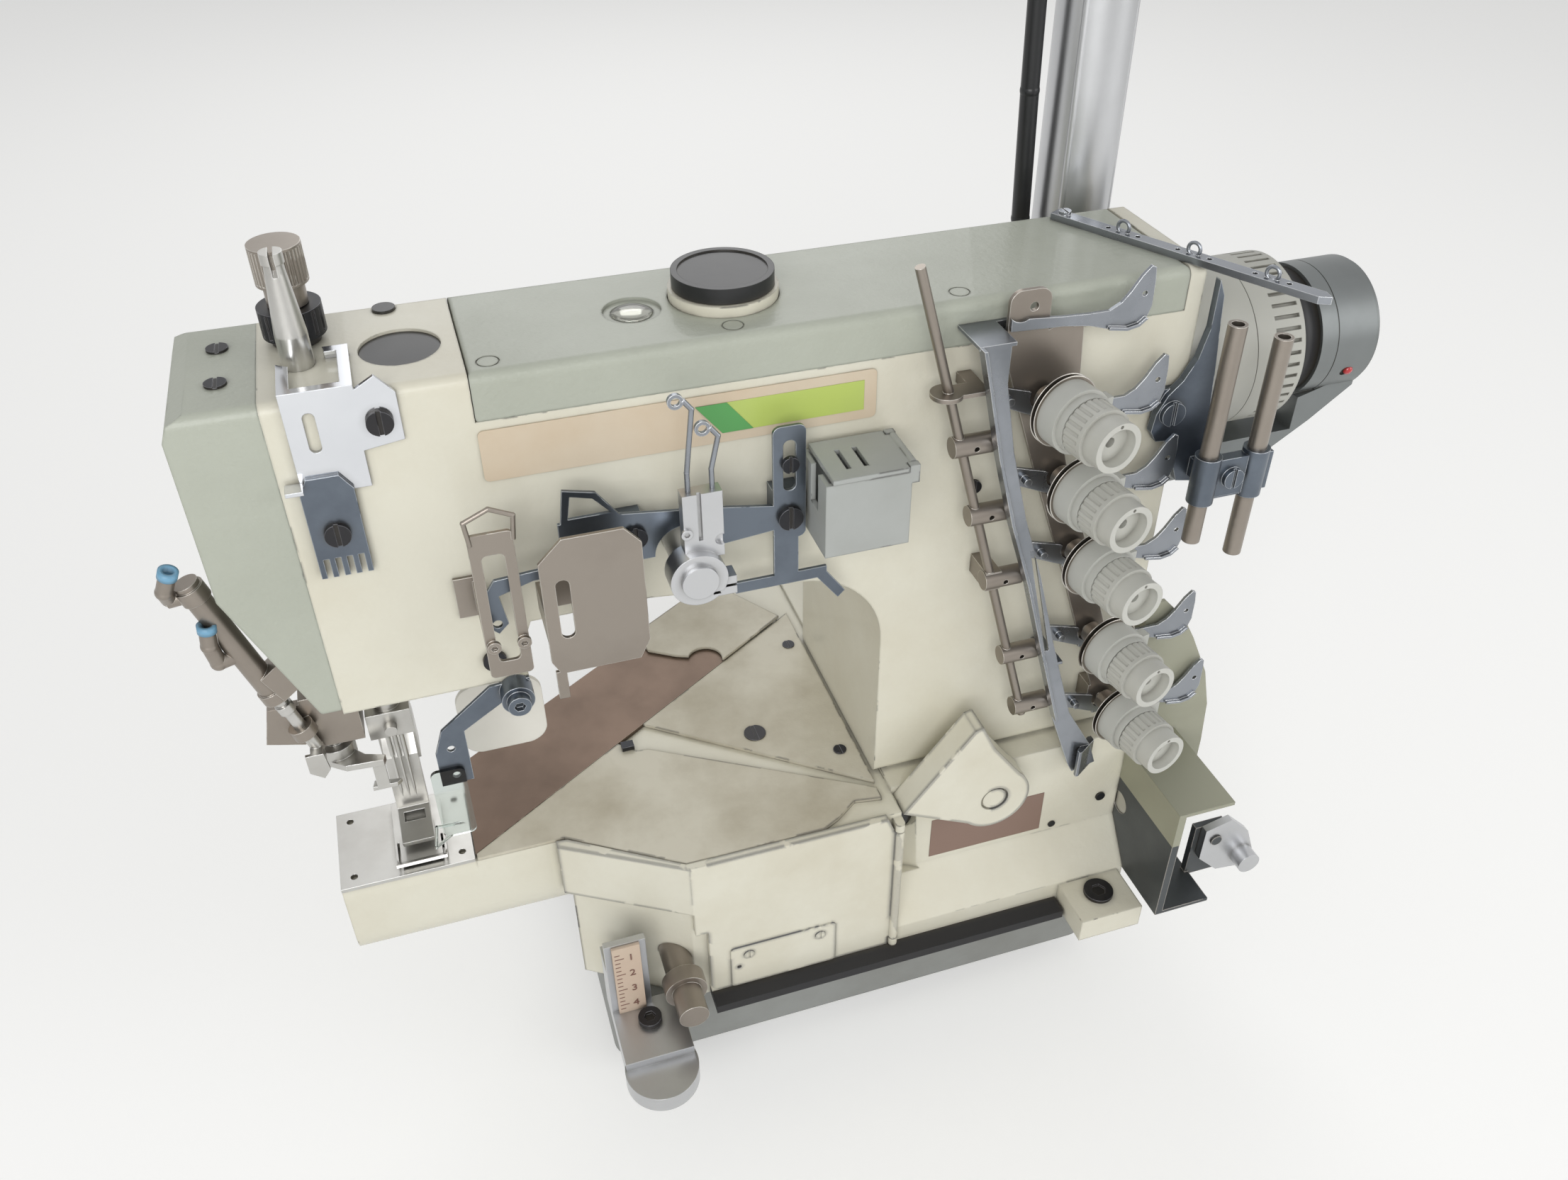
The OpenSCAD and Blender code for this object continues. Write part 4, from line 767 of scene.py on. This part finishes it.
@dataclass
class LabelStrip:
    """The strip on the arm's front, as layers of colour in millimetres from the arm's corner.

    Attributes:
        work: The shared workshop.
        left: Left end of the ground.
        right: Right end of the ground.
        low: Lower edge of the ground.
        high: Upper edge of the ground.
        corner: Radius of the ground's corners.
        over: How far the ground laps over the plate's own edge.
        corner_steps: Number of straight pieces in a corner.
        margin: What the fields leave free above and below.
        face: Front of the plate that carries the strip, along the depth of the arm.
        thin: Thickness of a layer.
        field_foot: Left and right end of the lime field at its lower edge.
        field_top: The same at its upper edge.
        slant_foot: Left and right end of the green band at its lower edge.
        slant_top: The same at its upper edge.
    """

    work: Workshop
    left: float = 68.0
    right: float = 217.0
    low: float = 93.0
    high: float = 113.5
    corner: float = 2.0
    over: float = 0.05
    corner_steps: int = 6
    margin: float = 4.0
    face: float = -0.4
    thin: float = 0.15
    field_foot: tuple[float, float] = (163, 212)
    field_top: tuple[float, float] = (153, 212)
    slant_foot: tuple[float, float] = (156, 168)
    slant_top: tuple[float, float] = (146, 158)

    def build(self) -> None:
        """Builds the ground, the lime field and the slanted green band, one over the other."""
        ground, lime, green = (self.face - layer * self.thin for layer in (1, 2, 3))
        self.work.plate("label_ground", self._rounded(), ground, 0.0, "label_white")
        self.work.plate("label_field", self._slanted(self.field_foot, self.field_top), lime,
                        ground, "label_lime")
        self.work.plate("label_slant", self._slanted(self.slant_foot, self.slant_top), green,
                        lime, "label_green")

    def _rounded(self) -> list[tuple[float, float]]:
        """Works out the outline of the ground.

        Returns:
            Its points, from the right end of the upper right corner round to the left.
        """
        quarter = 90
        corners = ((self.right, self.high), (self.left, self.high), (self.left, self.low),
                   (self.right, self.low))
        outline = []
        for turn, (x, z) in enumerate(corners):
            middle_x = x - math.copysign(self.corner, x - (self.left + self.right) / 2)
            middle_z = z - math.copysign(self.corner, z - (self.low + self.high) / 2)
            for step in range(self.corner_steps + 1):
                angle = math.radians(quarter * turn + quarter / self.corner_steps * step)
                outline.append((middle_x + (self.corner + self.over) * math.cos(angle),
                                middle_z + (self.corner + self.over) * math.sin(angle)))
        return outline

    def _slanted(self, foot: tuple[float, float],
                 top: tuple[float, float]) -> list[tuple[float, float]]:
        """Returns the outline of a field from the ends of its lower and upper edge."""
        low, high = self.low + self.margin, self.high - self.margin
        return [(foot[0], low), (foot[1], low), (top[1], high), (top[0], high)]


@dataclass
class StitchScale:
    """The engraved scale beside the stitch regulator, in millimetres from the arm's corner.

    Attributes:
        work: The shared workshop.
        ticks: Number of ticks.
        pitch: Distance between two ticks.
        bottom: Height of the lowest tick.
        left: Left end of the ticks.
        line: Width of a tick's line.
        short: Length of a plain tick.
        long: Length of a numbered tick.
        tick_relief: How far the ticks stand off the plate.
        numbers: How many ticks have a number. The highest number is at the foot.
        first_long: Index of the lowest numbered tick.
        long_step: Number of ticks from one numbered tick to the next.
        number_left: Left side of the numbers.
        number_drop: How far a number's foot is below its tick.
        number_size: Size of the type.
        number_relief: How far the middle of the numbers is off the plate.
        number_depth: Half the thickness of the numbers.
    """

    work: Workshop
    ticks: int = 15
    pitch: float = 2.8
    bottom: float = -183.0
    left: float = 87.0
    line: float = 0.45
    short: float = 2.4
    long: float = 4.2
    tick_relief: float = 0.1
    numbers: int = 4
    first_long: int = 1
    long_step: int = 4
    number_left: float = 93.0
    number_drop: float = 1.8
    number_size: float = 6.0
    number_relief: float = 0.15
    number_depth: float = 0.08

    def build(self) -> None:
        """Builds the ticks and the numbers from 1 to 4."""
        plate_low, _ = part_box("marking_plates")
        face = (plate_low[1] - self.work.arm.corner.y) / MM
        for k in range(self.ticks):
            z = self.bottom + k * self.pitch
            numbered = k % self.long_step == self.first_long
            right = self.left + (self.long if numbered else self.short)
            outline = [(self.left, z), (right, z), (right, z + self.line),
                       (self.left, z + self.line)]
            self.work.plate(f"scale_tick_{k + 1}", outline, face - self.tick_relief, face, "ink")
        for number in range(1, self.numbers + 1):
            tick = self.first_long + self.long_step * (self.numbers - number)
            self._number(str(number), self.bottom + tick * self.pitch - self.number_drop, face)

    def _number(self, text: str, foot: float, face: float) -> None:
        """Adds one number of the scale.

        Args:
            text: The number.
            foot: Height of its foot, in millimetres.
            face: The plate's face, in millimetres along the depth of the arm.
        """
        data = bpy.data.curves.new(f"scale_number_{text}", "FONT")
        data.body = text
        data.size = self.number_size * MM
        data.extrude = self.number_depth * MM
        piece = bpy.data.objects.new(f"scale_number_{text}", data)
        piece.location = self.work.arm.at(self.number_left, face - self.number_relief, foot)
        piece.rotation_euler = (math.radians(90), 0, 0)
        self.work.keep(piece, "ink")


@dataclass(frozen=True)
class ElbowEnd:
    """The open end of an air elbow, in millimetres from the arm's corner.

    Attributes:
        collar: Name of its collar.
        place: Middle of the opening.
        along: The direction in which the tube leaves.
    """

    collar: str
    place: tuple[float, float, float]
    along: tuple[float, float, float]


@dataclass
class AirElbows:
    """Blue release collars of the small air elbows at the head's left side.

    Attributes:
        work: The shared workshop.
        ends: The open ends of the elbows.
        radius: Outer radius of a collar.
        bore: Radius of the opening for the tube.
        sunk: How far a collar reaches into its elbow.
        proud: How far it stands out.
        bore_floor: Where the opening ends, from the elbow's own end.
        steps: Number of sides of a collar.
    """

    work: Workshop
    ends: tuple[ElbowEnd, ...] = (
        ElbowEnd("air_collar_upper", (-44.3, 5.0, 73.6), (3, -1, 7)),
        ElbowEnd("air_collar_lower", (-38.1, 6.0, 47.0), (1, 0, 7)),
    )
    radius: float = 3.5
    bore: float = 2.0
    sunk: float = 0.6
    proud: float = 2.6
    bore_floor: float = 0.2
    steps: int = 28

    def build(self) -> None:
        """Builds one collar at the open end of each elbow."""
        profile = [(-self.sunk, self.radius), (self.proud, self.radius), (self.proud, self.bore),
                   (self.bore_floor, self.bore)]
        for end in self.ends:
            self.work.lathe(end.collar, profile, self.work.arm.at(*end.place), Vector(end.along),
                            "collar_blue", self.steps)


@dataclass
class Detector:
    """The painted shadow in the gap before the position detector, as a black ring round the collar,
    and the detector's lamp, from the arm's corner.

    Attributes:
        work: The shared workshop.
        axis_y: Depth of the detector's axis.
        axis_z: Height of the detector's axis.
        sleeve_from: Left end of the painted shadow ring.
        sleeve_to: Right end of the painted shadow ring.
        sleeve_inner: Inner radius of the painted shadow ring.
        sleeve_outer: Outer radius of the painted shadow ring.
        sleeve_steps: Number of sides of the painted shadow ring.
        lamp_x: Place of the lamp along the axis.
        lamp_foot: Distance of the lamp's foot from the axis.
        lamp_out: The direction in which the lamp stands off the axis.
        lamp_profile: Distance from the foot and radius of the lamp's rings.
        lamp_steps: Number of sides of the lamp.
    """

    work: Workshop
    axis_y: float = 34.5
    axis_z: float = 81.0
    sleeve_from: float = 412.4
    sleeve_to: float = 425.2
    sleeve_inner: float = 27.4
    sleeve_outer: float = 27.9
    sleeve_steps: int = 72
    lamp_x: float = 444.0
    lamp_foot: float = 28.4
    lamp_out: tuple[float, float, float] = (0, -0.94, -0.34)
    lamp_profile: tuple[tuple[float, float], ...] = ((0, 2.2), (1.0, 2.2), (1.9, 1.6), (2.3, 0.4))
    lamp_steps: int = 24

    def build(self) -> None:
        """Builds the black ring of painted shadow round the collar, and the small red lamp on the
        front.
        """
        arm = self.work.arm
        length = self.sleeve_to - self.sleeve_from
        # A thin black ring round the collar: painted shadow in the gap beside the handwheel
        shadow_ring = [(0, self.sleeve_inner), (0, self.sleeve_outer), (length, self.sleeve_outer),
                  (length, self.sleeve_inner)]
        end = arm.at(self.sleeve_from, self.axis_y, self.axis_z)
        self.work.lathe("detector_sleeve", shadow_ring, end, Vector((1, 0, 0)), "sleeve_black",
                        self.sleeve_steps)
        out = Vector(self.lamp_out).normalized()
        foot = arm.at(self.lamp_x, self.axis_y, self.axis_z) + out * self.lamp_foot * MM
        self.work.lathe("detector_lamp", list(self.lamp_profile), foot, out, "lamp_red",
                        self.lamp_steps)


@dataclass(frozen=True)
class PhotoCamera:
    """The camera that took the photograph, found from the machine's own straight edges.

    Attributes:
        place: Its place in the common frame, in metres.
        turn: Angle to the right of the straight-ahead direction, in degrees.
        dip: Angle below the horizon, in degrees.
        roll: Turn about the line of sight, in degrees.
        focal_pixels: Focal length in pixels of the photograph.
        photo_width: Width of the photograph in pixels.
        sensor_width: Width of the camera's sensor, in millimetres.
        sight: How far the camera sees, in metres.
    """

    place: tuple[float, float, float] = (-0.1527, -0.4771, 0.6005)
    turn: float = 17.649
    dip: float = 37.263
    roll: float = 0.443
    focal_pixels: float = 1831.6
    photo_width: int = 2212
    sensor_width: float = 36.0
    sight: float = 20.0

    def build(self) -> None:
        """Makes the camera and hands it to the scene."""
        turn, dip, roll = (math.radians(v) for v in (self.turn, self.dip, self.roll))
        ahead = Vector((math.sin(turn) * math.cos(dip), math.cos(turn) * math.cos(dip),
                        -math.sin(dip)))
        level = Vector((math.cos(turn), -math.sin(turn), 0))
        down = ahead.cross(level)
        image_right = level * math.cos(roll) + down * math.sin(roll)
        image_down = level * -math.sin(roll) + down * math.cos(roll)
        data = bpy.data.cameras.new("photo_camera")
        data.sensor_width = self.sensor_width
        data.lens = data.sensor_width * self.focal_pixels / self.photo_width
        data.clip_end = self.sight
        camera = bpy.data.objects.new("photo_camera", data)
        bpy.context.scene.collection.objects.link(camera)
        rows = [(right, -below, -forward, place) for right, below, forward, place
                in zip(image_right, image_down, ahead, self.place)]
        camera.matrix_world = Matrix((*rows, (0, 0, 0, 1)))
        bpy.context.scene.camera = camera


@dataclass(frozen=True)
class Lamp:
    """One square lamp.

    Attributes:
        name: Name of the lamp.
        place: Where it hangs, in metres.
        target: The point that it faces.
        size: Side of the lamp, in metres.
        power: Its power in watts.
    """

    name: str
    place: tuple[float, float, float]
    target: tuple[float, float, float]
    size: float
    power: float

    def hang(self) -> None:
        """Adds the lamp to the scene."""
        data = bpy.data.lights.new(self.name, "AREA")
        data.size = self.size
        data.energy = self.power
        lamp = bpy.data.objects.new(self.name, data)
        lamp.location = self.place
        aim = Vector(self.target) - Vector(self.place)
        lamp.rotation_euler = aim.to_track_quat("-Z", "Y").to_euler()
        bpy.context.scene.collection.objects.link(lamp)


@dataclass
class Studio:
    """Plain pale floor, soft lamps and the even light of a room.

    Attributes:
        lamps: The lamps.
        floor_size: Side of the floor, in metres.
        floor_colour: Colour of the floor.
        floor_roughness: Roughness of the floor.
        floor_glow: Light that the floor adds where it is seen.
        room_light: Strength of the room's light.
        backdrop: Strength of the backdrop that is seen.
    """

    lamps: tuple[Lamp, ...] = (
        Lamp("key", (-0.7, -1.7, 1.1), (0.0, 0.0, 0.25), 1.3, 21.0),
        Lamp("fill", (1.6, -1.1, 0.9), (0.0, 0.0, 0.25), 1.2, 9.0),
        Lamp("rear", (0.3, 1.6, 1.5), (0.0, 0.0, 0.3), 1.2, 7.0),
    )
    floor_size: float = 12.0
    floor_colour: Colour = Colour(228, 228, 226)
    floor_roughness: float = 0.9
    floor_glow: float = 0.3
    room_light: float = 0.42
    backdrop: float = 0.8

    def build(self) -> None:
        """Builds the floor, the lamps and the world."""
        bpy.context.scene.view_settings.view_transform = "Standard"
        self._floor()
        for lamp in self.lamps:
            lamp.hang()
        self._room()

    @staticmethod
    def _seen(desk: NodeDesk) -> bpy.types.NodeSocket:
        """Adds the test for what the camera, metal and glass show.

        Args:
            desk: Desk of the tree that gets the test.

        Returns:
            A value of 1 for camera, glossy and transmission rays.
        """
        path = desk.add("ShaderNodeLightPath").outputs
        seen = path["Is Camera Ray"]
        for ray in ("Is Glossy Ray", "Is Transmission Ray"):
            seen = desk.math("MAXIMUM", seen, path[ray])
        return seen

    def _room(self) -> None:
        """Builds the even light of the room, and the pale backdrop that is seen."""
        world = bpy.data.worlds.new("room")
        bpy.context.scene.world = world
        world.use_nodes = True
        desk = NodeDesk(world.node_tree)
        background = desk.tree.nodes["Background"]
        background.inputs["Color"].default_value = (1, 1, 1, 1)
        strength = desk.map_range(self._seen(desk), end=(self.room_light, self.backdrop))
        desk.give(background.inputs["Strength"], strength)

    def _floor(self) -> None:
        """Builds the floor, which shows pale to the camera and keeps the shadow."""
        half = self.floor_size / 2
        mesh = bpy.data.meshes.new("floor")
        mesh.from_pydata([(-half, -half, 0), (half, -half, 0), (half, half, 0), (-half, half, 0)],
                         [], [(0, 1, 2, 3)])
        floor = bpy.data.objects.new("floor", mesh)
        bpy.context.scene.collection.objects.link(floor)
        material = bpy.data.materials.new("floor")
        material.use_nodes = True
        desk = NodeDesk(material.node_tree)
        shader = desk.tree.nodes["Principled BSDF"]
        shader.inputs["Base Color"].default_value = self.floor_colour.linear()
        shader.inputs["Roughness"].default_value = self.floor_roughness
        shader.inputs["Emission Color"].default_value = (1, 1, 1, 1)
        glow = desk.math("MULTIPLY", self._seen(desk), self.floor_glow)
        desk.give(shader.inputs["Emission Strength"], glow)
        mesh.materials.append(material)


def main() -> None:
    """Loads the frame, dresses it and reports each piece."""
    logging.basicConfig(level=logging.INFO, format="%(name)s: %(message)s")
    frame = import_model()
    work = Workshop(ArmFrame.from_frame(), FinishShop(FINISHES + EXTRA_FINISHES))
    PackedPieces(work).dress(frame)
    LabelStrip(work).build()
    StitchScale(work).build()
    AirElbows(work).build()
    Detector(work).build()
    for name in work.made:
        LOG.info("made %s", name)
    PhotoCamera().build()
    Studio().build()


if __name__ == "__main__":
    main()
